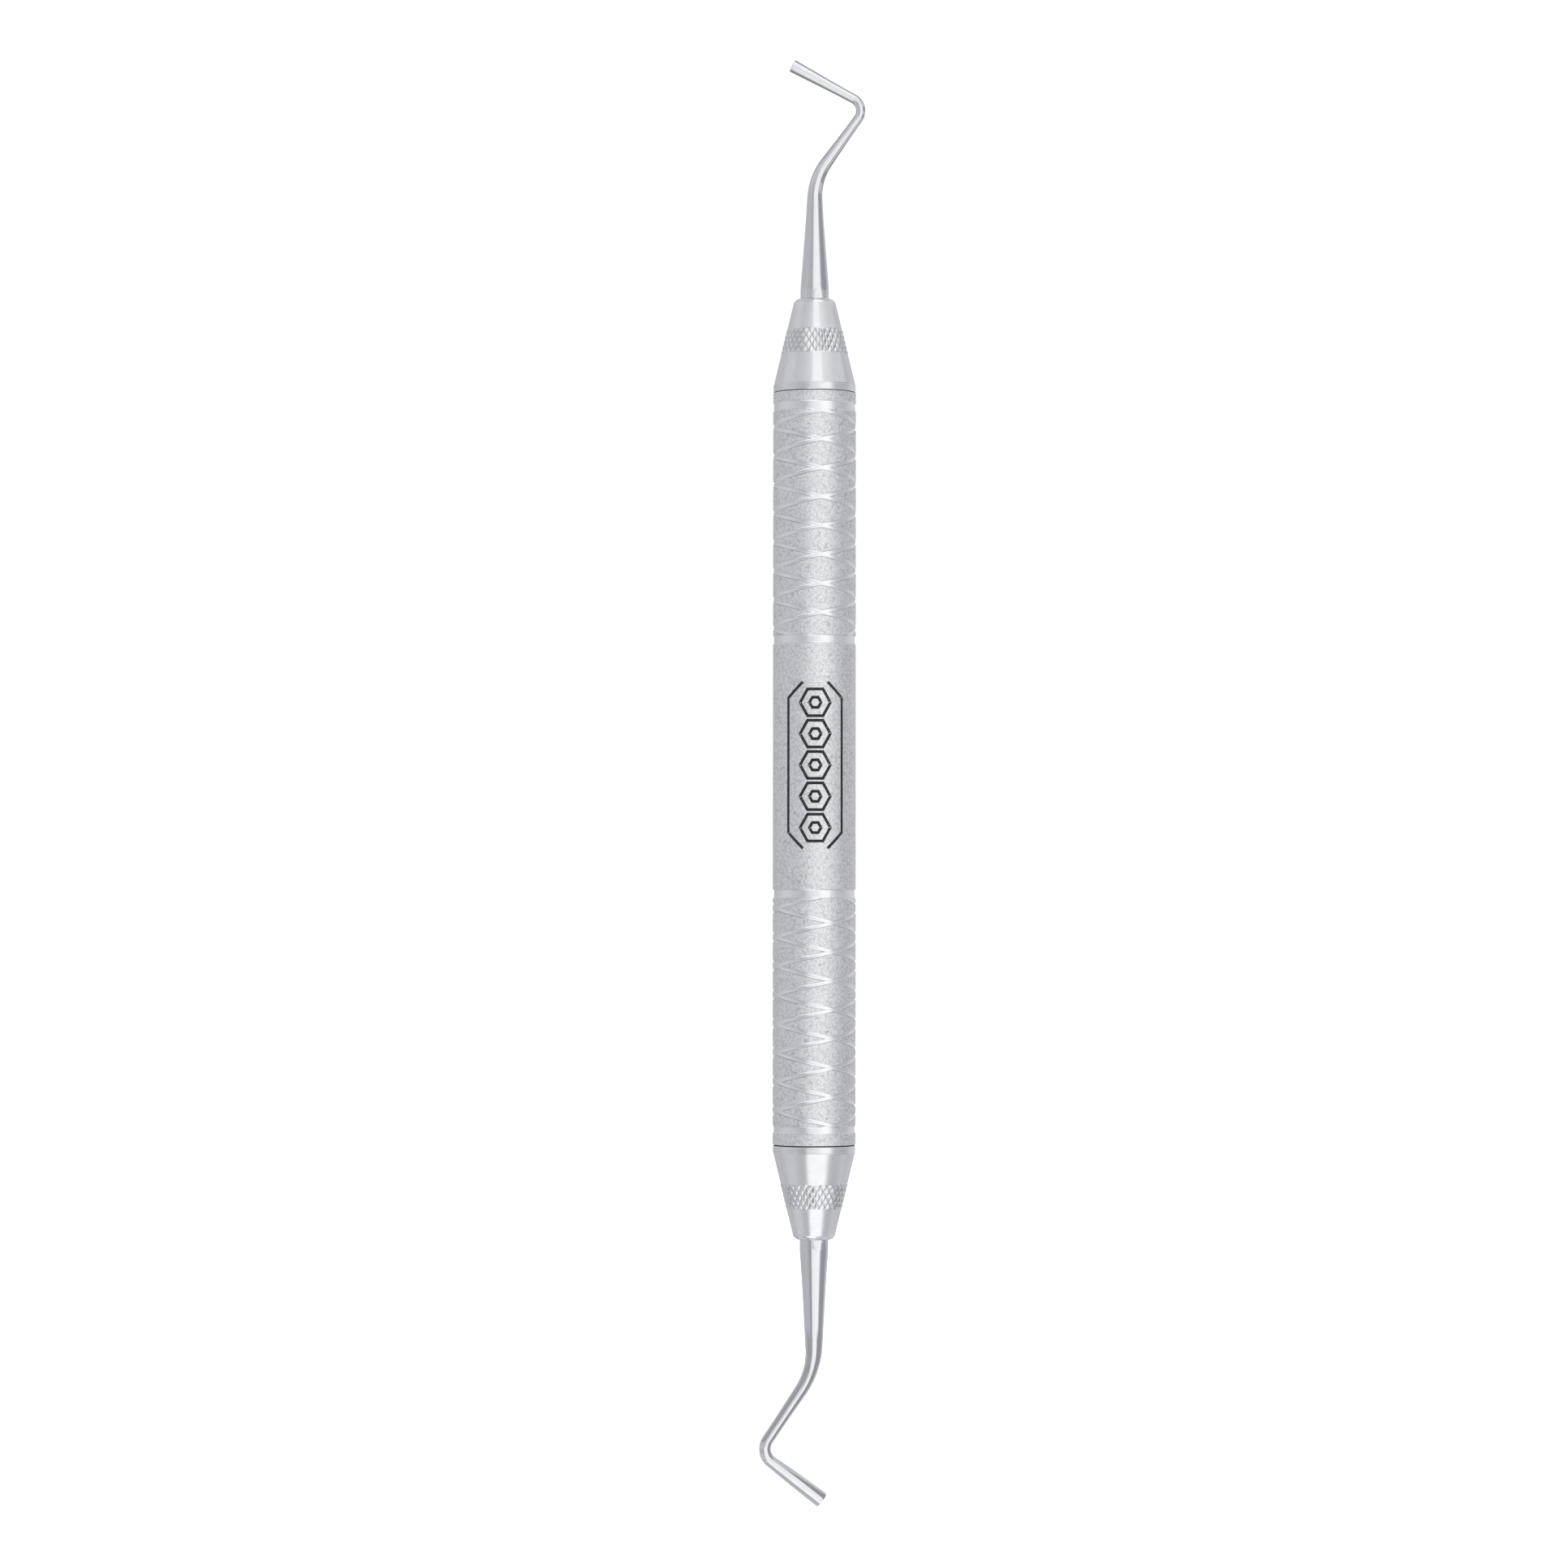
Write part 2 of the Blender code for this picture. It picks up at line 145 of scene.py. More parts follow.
# Working ends: the first corner's distance, the bends as (angle, radius, distance to the next
# corner or the tip), the diameters as (distance, diameter), the turn about the axis and the
# flat's side. Distances start at the seam and run along the straight lines between corners.
UPPER_SHAPE = (
    25.99,
    ((35.8, 7.5, 10.87), (-97.4, 1.67, 10.29)),
    ((12.5, 3.43), (24.3, 1.76), (28.2, 1.47), (34.1, 1.14), (38.4, 1.12), (47.15, 1.55)),
    0.0,
    13.0,
)
LOWER_SHAPE = (
    27.13,
    ((-34.4, 9.0, 11.75), (87.1, 1.95, 9.57)),
    (
        (12.6, 3.45), (17.3, 2.82), (24.3, 2.07), (27.1, 1.76), (30.1, 1.60), (35.8, 1.43),
        (39.8, 1.44), (44.3, 1.76), (48.45, 1.95),
    ),
    -8.5,
    167.0,
)
TANG = 8.2
SHANK_SIDES = 56
SHANK_STEP = 0.3
BEND_STEP = 4
FLAT_REACH = 1.65  # from the cone's nose to where the flat runs out
FLAT_DEPTH = 0.075
FLAT_START = -0.6  # the flat begins this far inside the cone's nose
# Rows of the tip's rounded edge: back from the face, in from the radius.
TIP_ROWS = ((0.045, 0.004), (0.018, 0.018), (0.0, 0.05))
TIP_EDGE = 0.1  # the shank's own rows stop this far from the face


# ---------------- mesh code


def new_object(name, data):
    made = bpy.data.objects.new(name, data)
    bpy.context.scene.collection.objects.link(made)
    return made


class Skin:
    """Points and faces of one closed piece, with a finish and a value for wear and painted light at
    each point.

    Finish is 1 on polished cuts. The other value is 1 on rubbed edges and on the painted highlight
    along a groove's upper edge, and -1 on the painted shade along a groove's lower edge; smaller
    negative values paint shade on ring groove wall rims and in the knurling's valleys.
    """

    def __init__(self):
        self.points = []
        self.values = []
        self.faces = []
        self.count = 0

    def add(self, points, finish, wear_and_painted_light):
        self.points.append(np.asarray(points, float))
        self.values.append(np.column_stack([np.broadcast_to(v, len(points)) for v in (finish, wear_and_painted_light)]))
        self.count += len(points)
        return np.arange(self.count - len(points), self.count)

    def loop(self, angles, radii, height, finish, wear_and_painted_light=0.0):
        """A loop of points round the Z axis."""
        heights = np.full(len(angles), 1.0) * height
        points = np.column_stack([radii * np.cos(angles), radii * np.sin(angles), heights])
        return angles, self.add(points, finish, wear_and_painted_light)

    def ring(self, radius, height, wear_and_painted_light=0.0):
        angles = np.arange(COLUMNS) * TAU / COLUMNS
        return self.loop(angles, np.full(COLUMNS, radius), height, 0.0, wear_and_painted_light)

    def stitch(self, first, second):
        """Faces between two loops. The outer side is walked downwards and a bore upwards."""
        a_angle, a = np.append(first[0], first[0][0] + TAU), np.append(first[1], first[1][0])
        b_angle, b = np.append(second[0], second[0][0] + TAU), np.append(second[1], second[1][0])
        i = j = 0
        while i < len(a) - 1 or j < len(b) - 1:
            next_a = a_angle[i + 1] if i < len(a) - 1 else math.inf
            next_b = b_angle[j + 1] if j < len(b) - 1 else math.inf
            if abs(next_a - next_b) < 1e-6:
                self.faces.append((a[i], b[j], b[j + 1], a[i + 1]))
                i += 1
                j += 1
            elif next_a < next_b:
                self.faces.append((a[i], b[j], a[i + 1]))
                i += 1
            else:
                self.faces.append((a[i], b[j], b[j + 1]))
                j += 1

    def walk(self, loops):
        for first, second in zip(loops[:-1], loops[1:]):
            self.stitch(first, second)

    def cap(self, height, loop, start):
        """Closes the start or the end of a walk on the axis."""
        centre = self.add([(0.0, 0.0, height)], 0.0, 0.0)[0]
        for p, q in zip(loop[1], np.roll(loop[1], -1)):
            self.faces.append((centre, p, q) if start else (p, centre, q))

    def band(self, angle, height, faces, low, high, surface):
        """A patterned band cut square at two heights. Returns its upper and lower loops."""
        angle, height, faces = cut_band(angle, height, faces, low, high)
        used = np.unique(np.concatenate(faces))
        where = np.full(len(angle), -1)
        where[used] = np.arange(len(used))
        angle, height = angle[used] % TAU, height[used]
        radius, finish, wear_and_painted_light = surface(angle, height)
        points = np.column_stack([radius * np.cos(angle), radius * np.sin(angle), height])
        index = self.add(points, finish, wear_and_painted_light)
        self.faces += [tuple(index[where[v]] for v in face) for face in faces]
        loops = []
        for limit in (high, low):
            on = np.flatnonzero(height == limit)
            on = on[np.argsort(angle[on])]
            loops.append((angle[on], index[on], radius[on]))
        return loops

    def piece(self, name, material, place=Matrix(), crease=32.0):
        """The piece as a Blender object, with its points moved from local to frame coordinates."""
        place = np.array(place)
        points = np.concatenate(self.points) * MM @ place[:3, :3].T + place[:3, 3]
        values = np.concatenate(self.values)
        mesh = bpy.data.meshes.new(name)
        mesh.from_pydata(points.tolist(), [], [[int(v) for v in face] for face in self.faces])
        for column, title in enumerate(("finish", "wear_and_painted_light")):
            attribute = mesh.attributes.new(title, "FLOAT", "POINT")
            attribute.data.foreach_set("value", values[:, column].astype(np.float32))
        mesh.validate()
        mesh.shade_smooth()
        mesh.set_sharp_from_angle(angle=math.radians(crease))
        mesh.materials.append(material)
        return new_object(name, mesh)


def cut_band(angle, height, faces, low, high):
    """Faces cut at two heights, with new points where an edge crosses a cut."""
    angle, height = list(angle), list(height)
    for limit, sign in ((low, 1.0), (high, -1.0)):
        made, kept = {}, []
        for face in faces:
            side = [sign * (height[v] - limit) for v in face]
            if min(side) >= 0:
                kept.append(face)
                continue
            if max(side) <= 0:
                continue
            new = []
            for k, a in enumerate(face):
                b = face[(k + 1) % len(face)]
                side_a, side_b = side[k], side[(k + 1) % len(face)]
                if side_a >= 0:
                    new.append(a)
                if side_a * side_b < 0:
                    key = (min(a, b), max(a, b))
                    if key not in made:
                        turn = (angle[b] - angle[a] + math.pi) % TAU - math.pi
                        made[key] = len(angle)
                        angle.append(angle[a] + side_a / (side_a - side_b) * turn)
                        height.append(limit)
                    new.append(made[key])
            kept.append(new)
        faces = kept
    return np.array(angle), np.array(height), faces


def snapped(height, low, high):
    """Heights close to a cut are moved onto it, so that the cut leaves no slivers."""
    for limit in (low, high):
        height = np.where(np.abs(height - limit) < SNAP, limit, height)
    return height


def lattice_faces(rows, columns, climb, height, low, high):
    """Faces between two heights of a lattice that climbs by some rows in one turn."""
    index = np.arange(rows * columns).reshape(rows, columns)
    shifted = np.full(rows, -1)
    shifted[: rows - climb] = index[climb:, 0]
    following = np.column_stack([index[:, 1:], shifted])
    faces = np.stack([index[:-1], following[:-1], following[1:], index[1:]], axis=-1).reshape(-1, 4)
    faces = faces[faces.min(axis=1) >= 0]
    top, bottom = height[faces].max(axis=1), height[faces].min(axis=1)
    return faces[(top > low) & (bottom < high)].tolist()


def crossed_helices(lines, starts, pitch, crossing, low, high):
    """Lattice of right- and left-hand helices. Lines are shares of the pitch, from a groove."""
    lines = np.asarray(lines)
    per = len(lines)
    columns = per * starts
    u_shift, v_shift = crossing
    j = np.arange(columns)
    v = j // per + lines[j % per] + v_shift
    reach = 2.0 * pitch
    i_first = per * math.floor(2 * (low - reach) / pitch - v.max() - u_shift)
    i_last = per * math.ceil(2 * (high + reach) / pitch - v.min() - u_shift)
    i = np.arange(i_first, i_last)
    u = i // per + lines[i % per] + u_shift
    height = snapped(pitch * (u[:, None] + v[None, :]) / 2, low, high).ravel()
    angle = (math.pi * (v[None, :] - u[:, None]) / starts).ravel()
    return angle, height, lattice_faces(len(i), columns, columns, height, low, high)


def thread_lattice(low, high):
    """Rows that climb one pitch a turn."""
    lines = np.asarray(THREAD_LINES)
    per = len(lines)
    first = per * math.floor((low - THREAD_PHASE) / PITCH - 2)
    last = per * math.ceil((high - THREAD_PHASE) / PITCH + 2)
    i = np.arange(first, last)
    u = i // per + lines[i % per]
    turn = np.arange(THREAD_COLUMNS) / THREAD_COLUMNS
    height = snapped(PITCH * (u[:, None] + turn[None, :]) + THREAD_PHASE, low, high).ravel()
    angle = np.broadcast_to(turn * TAU, (len(i), THREAD_COLUMNS)).ravel()
    return angle, height, lattice_faces(len(i), THREAD_COLUMNS, per, height, low, high)


def from_middle(value):
    """Signed distance from the nearest whole number."""
    return (value + 0.5) % 1.0 - 0.5


# ---------------- handle


def groove_lines(pitch):
    """Lines from one groove's middle to the next, close together across the groove."""
    land = np.linspace(GROOVE_LINES[-1], pitch / 2, LAND_STEPS + 1)[1:]
    half = np.concatenate([GROOVE_LINES, land]) / pitch
    return np.concatenate([[0.0], half, 1.0 - half[-2::-1]])


def crossing_shift(starts, pitch, angle, height):
    """Shifts of the right- and left-hand helices that make them cross at an angle and height."""
    turn = math.radians(angle) / TAU * starts
    return (height / pitch - turn) % 1.0, (height / pitch + turn) % 1.0


def add_wall(skin, edge, edge_height, floor_radius, down, start=None):
    """Concave wall of a ring groove, from its edge to the floor, or back up when down is False."""
    angles, index, radii = edge
    sign = -1.0 if down else 1.0
    loops = [(angles, index)]
    for share in WALL_SHARES:
        radius = radii + (floor_radius - radii) * math.sin(share * math.pi / 2)
        # Painted shade on the wall next to its edge.
        worn_and_painted_light = -0.5 if share < WALL_RIM else 0.0
        loops.append(skin.loop(angles, radius, edge_height + sign * WALL * share, 1.0, worn_and_painted_light))
    floor = np.full(len(angles), floor_radius)
    loops.append(skin.loop(angles, floor, edge_height + sign * (WALL + WALL_FOOT), 1.0))
    if not down:
        loops = loops[::-1]
    if start is not None:
        loops = [start] + loops
    skin.walk(loops)
    return loops[-1]


def ring_edge(skin, height):
    angles, index = skin.ring(TUBE_RADIUS, height, 1.0)
    return angles, index, np.full(COLUMNS, TUBE_RADIUS)


def plain_rows(skin, top, bottom):
    """Rows of the plain tube between two edges, without the edges themselves."""
    rows = [top - ROW_MARGIN]
    count = max(1, round((top - bottom) / ROW_STEP))
    rows += [top + (bottom - top) * k / count for k in range(1, count)]
    rows += [bottom + ROW_MARGIN]
    return [skin.ring(TUBE_RADIUS, z) for z in rows]


def zone_surface(pitch, shift):
    """Radius, finish, and wear and painted light where right- and left-hand grooves cross: a painted
    highlight on each groove's upper edge, painted shade on its lower edge.
    """

    def surface(angle, height):
        turn = angle / TAU * GROOVE_STARTS
        deep = np.zeros(len(angle))
        worn_and_painted_light = np.zeros(len(angle))
        for value in (height / pitch - turn - shift[0], height / pitch + turn - shift[1]):
            above = from_middle(value) * pitch
            away = np.abs(above)
            deep = np.maximum(deep, 1 - (away / GROOVE_HALF_WIDTH) ** GROOVE_FLATNESS)
            # A painted highlight along the upper edge and painted shade along the lower edge.
            at_edge = np.abs(away - GROOVE_HALF_WIDTH) < GROOVE_EDGE_LIGHT
            worn_and_painted_light = np.where(at_edge, np.sign(above), worn_and_painted_light)
        worn_and_painted_light = np.where(deep < GROOVE_MERGE, worn_and_painted_light, 0.0)
        return TUBE_RADIUS - GROOVE_DEPTH * deep, np.clip(deep / GROOVE_POLISH, 0, 1), worn_and_painted_light

    return surface


def add_zone(skin, last, number):
    """A ring groove, the crossed grooves below it and the next ring groove's upper wall."""
    upper, lower, depth = RINGS[number]
    low, _, next_depth = RINGS[number + 1]
    edge = ring_edge(skin, upper)
    skin.stitch(last, edge[:2])
    floor = add_wall(skin, edge, upper, TUBE_RADIUS - depth, True)
    pitch, angle, height = ZONES[number // 2]
    shift = crossing_shift(GROOVE_STARTS, pitch, angle, height)
    lattice = crossed_helices(groove_lines(pitch), GROOVE_STARTS, pitch, shift, low, lower)
    high_loop, low_loop = skin.band(*lattice, low, lower, zone_surface(pitch, shift))
    add_wall(skin, high_loop, lower, TUBE_RADIUS - depth, False, floor)
    return add_wall(skin, low_loop, low, TUBE_RADIUS - next_depth, True)


def add_plain(skin, floor, number):
    """The lower wall of the ring groove that ends a zone, and the plain tube below it."""
    _, lower, depth = RINGS[number]
    bottom = RINGS[number + 1][0] if number + 1 < len(RINGS) else TUBE_EDGE - TUBE_END
    last = add_wall(skin, ring_edge(skin, lower), lower, TUBE_RADIUS - depth, False, floor)
    loops = [last] + plain_rows(skin, lower, bottom)
    skin.walk(loops)
    return loops[-1]


def handle_piece(material):
    skin = Skin()
    top_bore = skin.ring(TUBE_BORE, TUBE_END)
    loops = [top_bore]
    loops += [skin.ring(TUBE_RADIUS + dr, TUBE_END - dz, RIM_WEAR) for dr, dz in END_ROWS]
    loops += plain_rows(skin, TUBE_END - TUBE_EDGE, RINGS[0][0])
    skin.walk(loops)
    last = loops[-1]
    for number in (0, 2):
        floor = add_zone(skin, last, number)
        last = add_plain(skin, floor, number + 1)
    loops = [last]
    loops += [skin.ring(TUBE_RADIUS + dr, dz - TUBE_END, RIM_WEAR) for dr, dz in END_ROWS[::-1]]
    loops += [skin.ring(TUBE_BORE, z) for z in np.linspace(-TUBE_END, TUBE_END, BORE_ROWS)[:-1]]
    loops.append(top_bore)
    skin.walk(loops)
    return skin.piece("handle_shell", material)


# ---------------- etched motif


def etched_line(skin, centre, points, closed=True):
    """A line engraved on the handle's front, through corners given as (across, along)."""
    corners = np.asarray(points, float)
    outline = []
    for a, b in zip(corners if closed else corners[:-1], np.roll(corners, -1, axis=0)):
        steps = max(1, math.ceil(np.linalg.norm(b - a) / ETCH_STEP))
        outline += [a + (b - a) * k / steps for k in range(steps)]
    if not closed:
        outline.append(corners[-1])
    outline = np.array(outline)
    before, after = np.roll(outline, 1, axis=0), np.roll(outline, -1, axis=0)
    if not closed:
        before[0], after[-1] = 2 * outline[0] - outline[1], 2 * outline[-1] - outline[-2]
    way_in = (outline - before) / np.linalg.norm(outline - before, axis=1)[:, None]
    way_out = (after - outline) / np.linalg.norm(after - outline, axis=1)[:, None]
    side = np.column_stack([way_in[:, 1] + way_out[:, 1], -way_in[:, 0] - way_out[:, 0]])
    side /= np.linalg.norm(side, axis=1)[:, None]
    lean = np.sum(side * np.column_stack([way_out[:, 1], -way_out[:, 0]]), axis=1)
    offset = side * (ETCH_LINE / 2 / lean)[:, None]
    add_strip(skin, centre + outline - offset, centre + outline + offset, closed)


def add_strip(skin, inner, outer, closed):
    """A thin closed solid between two lines on the handle's surface."""
    layers = []
    for radius in (TUBE_RADIUS + ETCH_PROUD, TUBE_RADIUS - ETCH_SUNK):
        for line in (inner, outer):
            angle = line[:, 0] / TUBE_RADIUS - math.pi / 2
            flat = np.column_stack([radius * np.cos(angle), radius * np.sin(angle), line[:, 1]])
            layers.append(skin.add(flat, 1.0, 0.0))
    in_top, out_top, in_low, out_low = layers
    count = len(in_top)
    for k in range(count if closed else count - 1):
        n = (k + 1) % count
        skin.faces.append((out_top[k], out_top[n], in_top[n], in_top[k]))
        skin.faces.append((in_low[k], in_low[n], out_low[n], out_low[k]))
        skin.faces.append((out_low[k], out_low[n], out_top[n], out_top[k]))
        skin.faces.append((in_top[k], in_top[n], in_low[n], in_low[k]))
    if not closed:
        for k, flip in ((0, True), (count - 1, False)):
            face = (in_top[k], in_low[k], out_low[k], out_top[k])
            skin.faces.append(face[::-1] if flip else face)


def hexagon(radius):
    return [(radius * math.cos(k * TAU / 6), radius * math.sin(k * TAU / 6)) for k in range(6)]


def etched_motif(material):
    skin = Skin()
    middle = np.array(MOTIF_MIDDLE)
    for k in range(HEXAGON_COUNT):
        centre = middle + (0, (k - (HEXAGON_COUNT - 1) / 2) * HEXAGON_STEP)
        for radius in HEXAGON_RADII:
            etched_line(skin, centre, hexagon(radius))
    for side in (-1, 1):
        bracket = [(side * x, z) for x, z in BRACKET]
        etched_line(skin, middle, bracket[::side], closed=False)
    return skin.piece("etched_pattern", material, crease=20)


# ---------------- cones


def cone_radius(height):
    return CONE_LAND_RADIUS - CONE_SLOPE * (height - CONE_LAND)


def knurl_surface(shift):
    """Radius, finish, and wear and painted light of the diamond knurling: rubbed bright crests,
    painted shade in the valleys.
    """

    def surface(angle, height):
        turn = angle / TAU * KNURL_STARTS
        right = (height / KNURL_PITCH - turn - shift[0]) % 1.0
        left = (height / KNURL_PITCH + turn - shift[1]) % 1.0
        slopes = (
            right / KNURL_PEAK, (1 - right) / (1 - KNURL_PEAK),
            left / (1 - KNURL_PEAK), (1 - left) / KNURL_PEAK,
        )
        rise = np.clip(np.minimum.reduce(slopes), 0, KNURL_FLAT) / KNURL_FLAT
        edge = np.clip(np.minimum(height - KNURL[0], KNURL[1] - height) / KNURL_FADE, 0, 1)
        fade = edge * edge * (3 - 2 * edge)
        radius = cone_radius(height) + fade * (KNURL_PROUD - KNURL_DEPTH * (1 - rise))
        # The crests are rubbed bright; the valleys get painted shade.
        worn_and_painted_light = np.where(rise > KNURL_RUBBED, 0.7, -np.clip(1 - rise / KNURL_PAINTED_SHADE, 0, 1))
        return radius, np.zeros(len(angle)), worn_and_painted_light * edge

    return surface


def thread_surface(angle, height):
    """Radius, finish and wear of the thread, which runs out into the neck and the end's chamfer."""
    away = np.abs(from_middle((height - THREAD_PHASE) / PITCH - angle / TAU)) * PITCH
    flank = np.clip((THREAD_FOOT - away) / THREAD_FLANK, 0, 1)
    ridge = THREAD_ROOT + (THREAD_CREST - THREAD_ROOT) * flank
    crest = THREAD_CREST + THREAD_SPARE
    runout, lead = NECK[1] - THREAD_RUNOUT, SPIGOT_END + THREAD_LEAD
    blank_top = np.interp(height, [runout, NECK[1]], [crest, NECK[0]])
    blank_low = np.interp(height, [SPIGOT_END + THREAD_SPARE, lead], [NECK[0], crest])
    radius = np.maximum(THREAD_ROOT, np.minimum(ridge, np.minimum(blank_top, blank_low)))
    return radius, np.full(len(angle), 1.0), np.where(radius > THREAD_CREST - 0.1, 0.8, 0.0)


def nose_rows(shank_radius):
    """Rows from the shank's bore over the nose's rounded edge."""
    tilt = math.atan(CONE_SLOPE)
    arc_top = NOSE_HEIGHT - NOSE_EDGE + NOSE_EDGE * math.sin(tilt)
    centre_r = cone_radius(arc_top) - NOSE_EDGE * math.cos(tilt)
    centre_z = NOSE_HEIGHT - NOSE_EDGE
    rows = [(shank_radius + SHANK_GAP, NOSE_HEIGHT - 0.05), (shank_radius + 0.02, NOSE_HEIGHT - 0.01)]
    rows.append((shank_radius + 0.05, NOSE_HEIGHT))
    angles = np.linspace(math.pi / 2, tilt, NOSE_ARC_ROWS)
    rows += [(centre_r + NOSE_EDGE * math.cos(a), centre_z + NOSE_EDGE * math.sin(a)) for a in angles]
    return rows


def cone_rows(lip):
    """Rows from the cone's land over its rim, pilot and neck: radius, height and wear."""
    shoulder = SEAM / 2
    rim = shoulder - lip
    return [
        (cone_radius(CONE_LAND + 0.05), CONE_LAND + 0.05, 0.0),
        (CONE_LAND_RADIUS - LAND_LINE, CONE_LAND, 0.0),
        (CONE_BASE_RADIUS - 0.007, CONE_LAND - 0.05, RIM_WEAR),
        (CONE_BASE_RADIUS - 0.006, CONE_LAND - 0.12, 0.0),
        (CONE_BASE_RADIUS - 0.009, rim + 0.12, 0.0),
        (CONE_BASE_RADIUS - 0.008, rim + 0.05, 1.0),
        (CONE_BASE_RADIUS - 0.018, rim + 0.018, 1.0),
        (CONE_BASE_RADIUS - 0.034, rim + 0.004, 1.0),
        (CONE_BASE_RADIUS - 0.05, rim, 0.5),
        (SEAL_RADIUS + 0.025, rim, 0.0),
        (SEAL_RADIUS + 0.02, shoulder, 0.0),
        (PILOT[0] + 0.06, shoulder, 0.0),
        (PILOT[0], shoulder, 0.0),
        (PILOT[0], shoulder - 0.06, 0.0),
        (PILOT[0], PILOT[1] + 0.16, 0.0),
        (PILOT[0], PILOT[1] + 0.10, RIM_WEAR),
        (PILOT[0] - 0.10, PILOT[1], RIM_WEAR),
        (NECK[0] + 0.06, PILOT[1], 0.0),
        (NECK[0], PILOT[1] - 0.06, 0.0),
        (NECK[0], NECK[1] + 0.01, 0.0),
        (THREAD_ROOT, NECK[1] - 0.02, 0.0),
    ]


def add_spigot(skin, last):
    """The thread below the neck, and the spigot's end with a centre hole."""
    top, bottom = NECK[1] - 0.06, SPIGOT_END + 0.12
    high_loop, low_loop = skin.band(*thread_lattice(bottom, top), bottom, top, thread_surface)
    skin.stitch(last, high_loop[:2])
    mouth, hole, depth = CENTRE_HOLE
    rows = [
        (THREAD_ROOT, SPIGOT_END + SPIGOT_EDGE),
        (THREAD_ROOT - SPIGOT_EDGE, SPIGOT_END),
        (mouth, SPIGOT_END),
        (hole, SPIGOT_END + depth),
    ]
    loops = [low_loop[:2]] + [skin.ring(r, z) for r, z in rows]
    skin.walk(loops)
    skin.cap(SPIGOT_END + depth, loops[-1], False)


def cone_piece(name, material, place, shank_radius, lip):
    skin = Skin()
    floor = NOSE_HEIGHT - SHANK_BORE_DEPTH
    bore = skin.ring(shank_radius + SHANK_GAP, floor)
    skin.cap(floor, bore, True)
    loops = [bore] + [skin.ring(r, z) for r, z in nose_rows(shank_radius)]
    low, high = KNURL
    above = [high + (PLAIN_TOP - high) * share for share in (0.8, 0.6, 0.4, 0.2, 0.03)]
    loops += [skin.ring(cone_radius(z), z) for z in above]
    skin.walk(loops)
    shift = crossing_shift(KNURL_STARTS, KNURL_PITCH, *KNURL_CROSSING)
    lattice = crossed_helices(KNURL_LINES, KNURL_STARTS, KNURL_PITCH, shift, low, high)
    high_loop, low_loop = skin.band(*lattice, low, high, knurl_surface(shift))
    skin.stitch(loops[-1], high_loop[:2])
    below = [low - 0.08] + list(np.linspace(low - 0.6, CONE_LAND + 0.4, 5)) + [CONE_LAND + 0.12]
    loops = [low_loop[:2]] + [skin.ring(cone_radius(z), z) for z in below]
    loops += [skin.ring(r, z, worn_and_painted_light) for r, z, worn_and_painted_light in cone_rows(lip)]
    skin.walk(loops)
    add_spigot(skin, loops[-1])
    return skin.piece(name, material, place)


# ---------------- seals


def seal_piece(name, material, place):
    """Washer with rounded rims."""
    skin = Skin()
    half = (SEAM - SEAL_PLAY) / 2
    turn = np.linspace(math.pi / 2, -math.pi / 2, 7)
    rows = [(SEAL_RADIUS - half + half * math.cos(a), half * math.sin(a)) for a in turn]
    rows += [(SEAL_BORE + half - half * math.cos(a), half * math.sin(a)) for a in turn[::-1]]
    loops = [skin.ring(r, z) for r, z in rows]
    loops.append(loops[0])
    skin.walk(loops)
    return skin.piece(name, material, place, crease=60)


# ---------------- working ends


def smooth_diameter(distance, stations):
    """Monotone cubic through the stations."""
    x = np.array([s[0] for s in stations])
    y = np.array([s[1] for s in stations])
    slope = np.diff(y) / np.diff(x)
    tangent = np.zeros(len(x))
    tangent[0], tangent[-1] = slope[0], slope[-1]
    same = slope[:-1] * slope[1:] > 0
    harmonic = 2 * slope[:-1] * slope[1:] / np.where(same, slope[:-1] + slope[1:], 1.0)
    tangent[1:-1] = np.where(same, harmonic, 0.0)
    distance = np.clip(distance, x[0], x[-1])
    k = np.clip(np.searchsorted(x, distance, side="right") - 1, 0, len(x) - 2)
    width = x[k + 1] - x[k]
    t = (distance - x[k]) / width
    return (
        (2 * t**3 - 3 * t**2 + 1) * y[k] + (t**3 - 2 * t**2 + t) * width * tangent[k]
        + (3 * t**2 - 2 * t**3) * y[k + 1] + (t**3 - t**2) * width * tangent[k + 1]
    )


def ahead(x, z, heading, gone):
    return x + gone * math.sin(heading), z + gone * math.cos(heading)


def straight_rows(x, z, heading, start, length):
    """Rows along a straight, without its end."""
    steps = max(1, math.ceil(length / SHANK_STEP))
    gone = [length * k / steps for k in range(steps)]
    return [(*ahead(x, z, heading, part), heading, start + part) for part in gone]


def centreline(first_corner, bends):
    """Rows of (x, z, heading, distance) along the rounded centreline, and a row for its end."""
    rows = []
    x, z, heading = 0.0, NOSE_HEIGHT - TANG, 0.0
    along, corner = z, first_corner
    for angle, radius, length in bends:
        angle = math.radians(angle)
        reach = radius * math.tan(abs(angle) / 2)
        gone = corner - reach - along
        rows += straight_rows(x, z, heading, along, gone)
        x, z = ahead(x, z, heading, gone)
        arm = math.copysign(radius, angle)
        centre_x, centre_z = x + arm * math.cos(heading), z - arm * math.sin(heading)
        steps = math.ceil(abs(angle) / math.radians(BEND_STEP))
        for k in range(steps):
            turned = heading + angle * k / steps
            row_x, row_z = centre_x - arm * math.cos(turned), centre_z + arm * math.sin(turned)
            rows.append((row_x, row_z, turned, corner + (2 * k / steps - 1) * reach))
        heading += angle
        x, z = centre_x - arm * math.cos(heading), centre_z + arm * math.sin(heading)
        along, corner = corner + reach, corner + length
    gone = corner - along
    steps = math.ceil((gone - TIP_EDGE) / SHANK_STEP)
    for k in range(steps + 1):
        part = (gone - TIP_EDGE) * k / steps
        rows.append((*ahead(x, z, heading, part), heading, along + part))
    return np.array(rows), (*ahead(x, z, heading, gone), heading, corner)


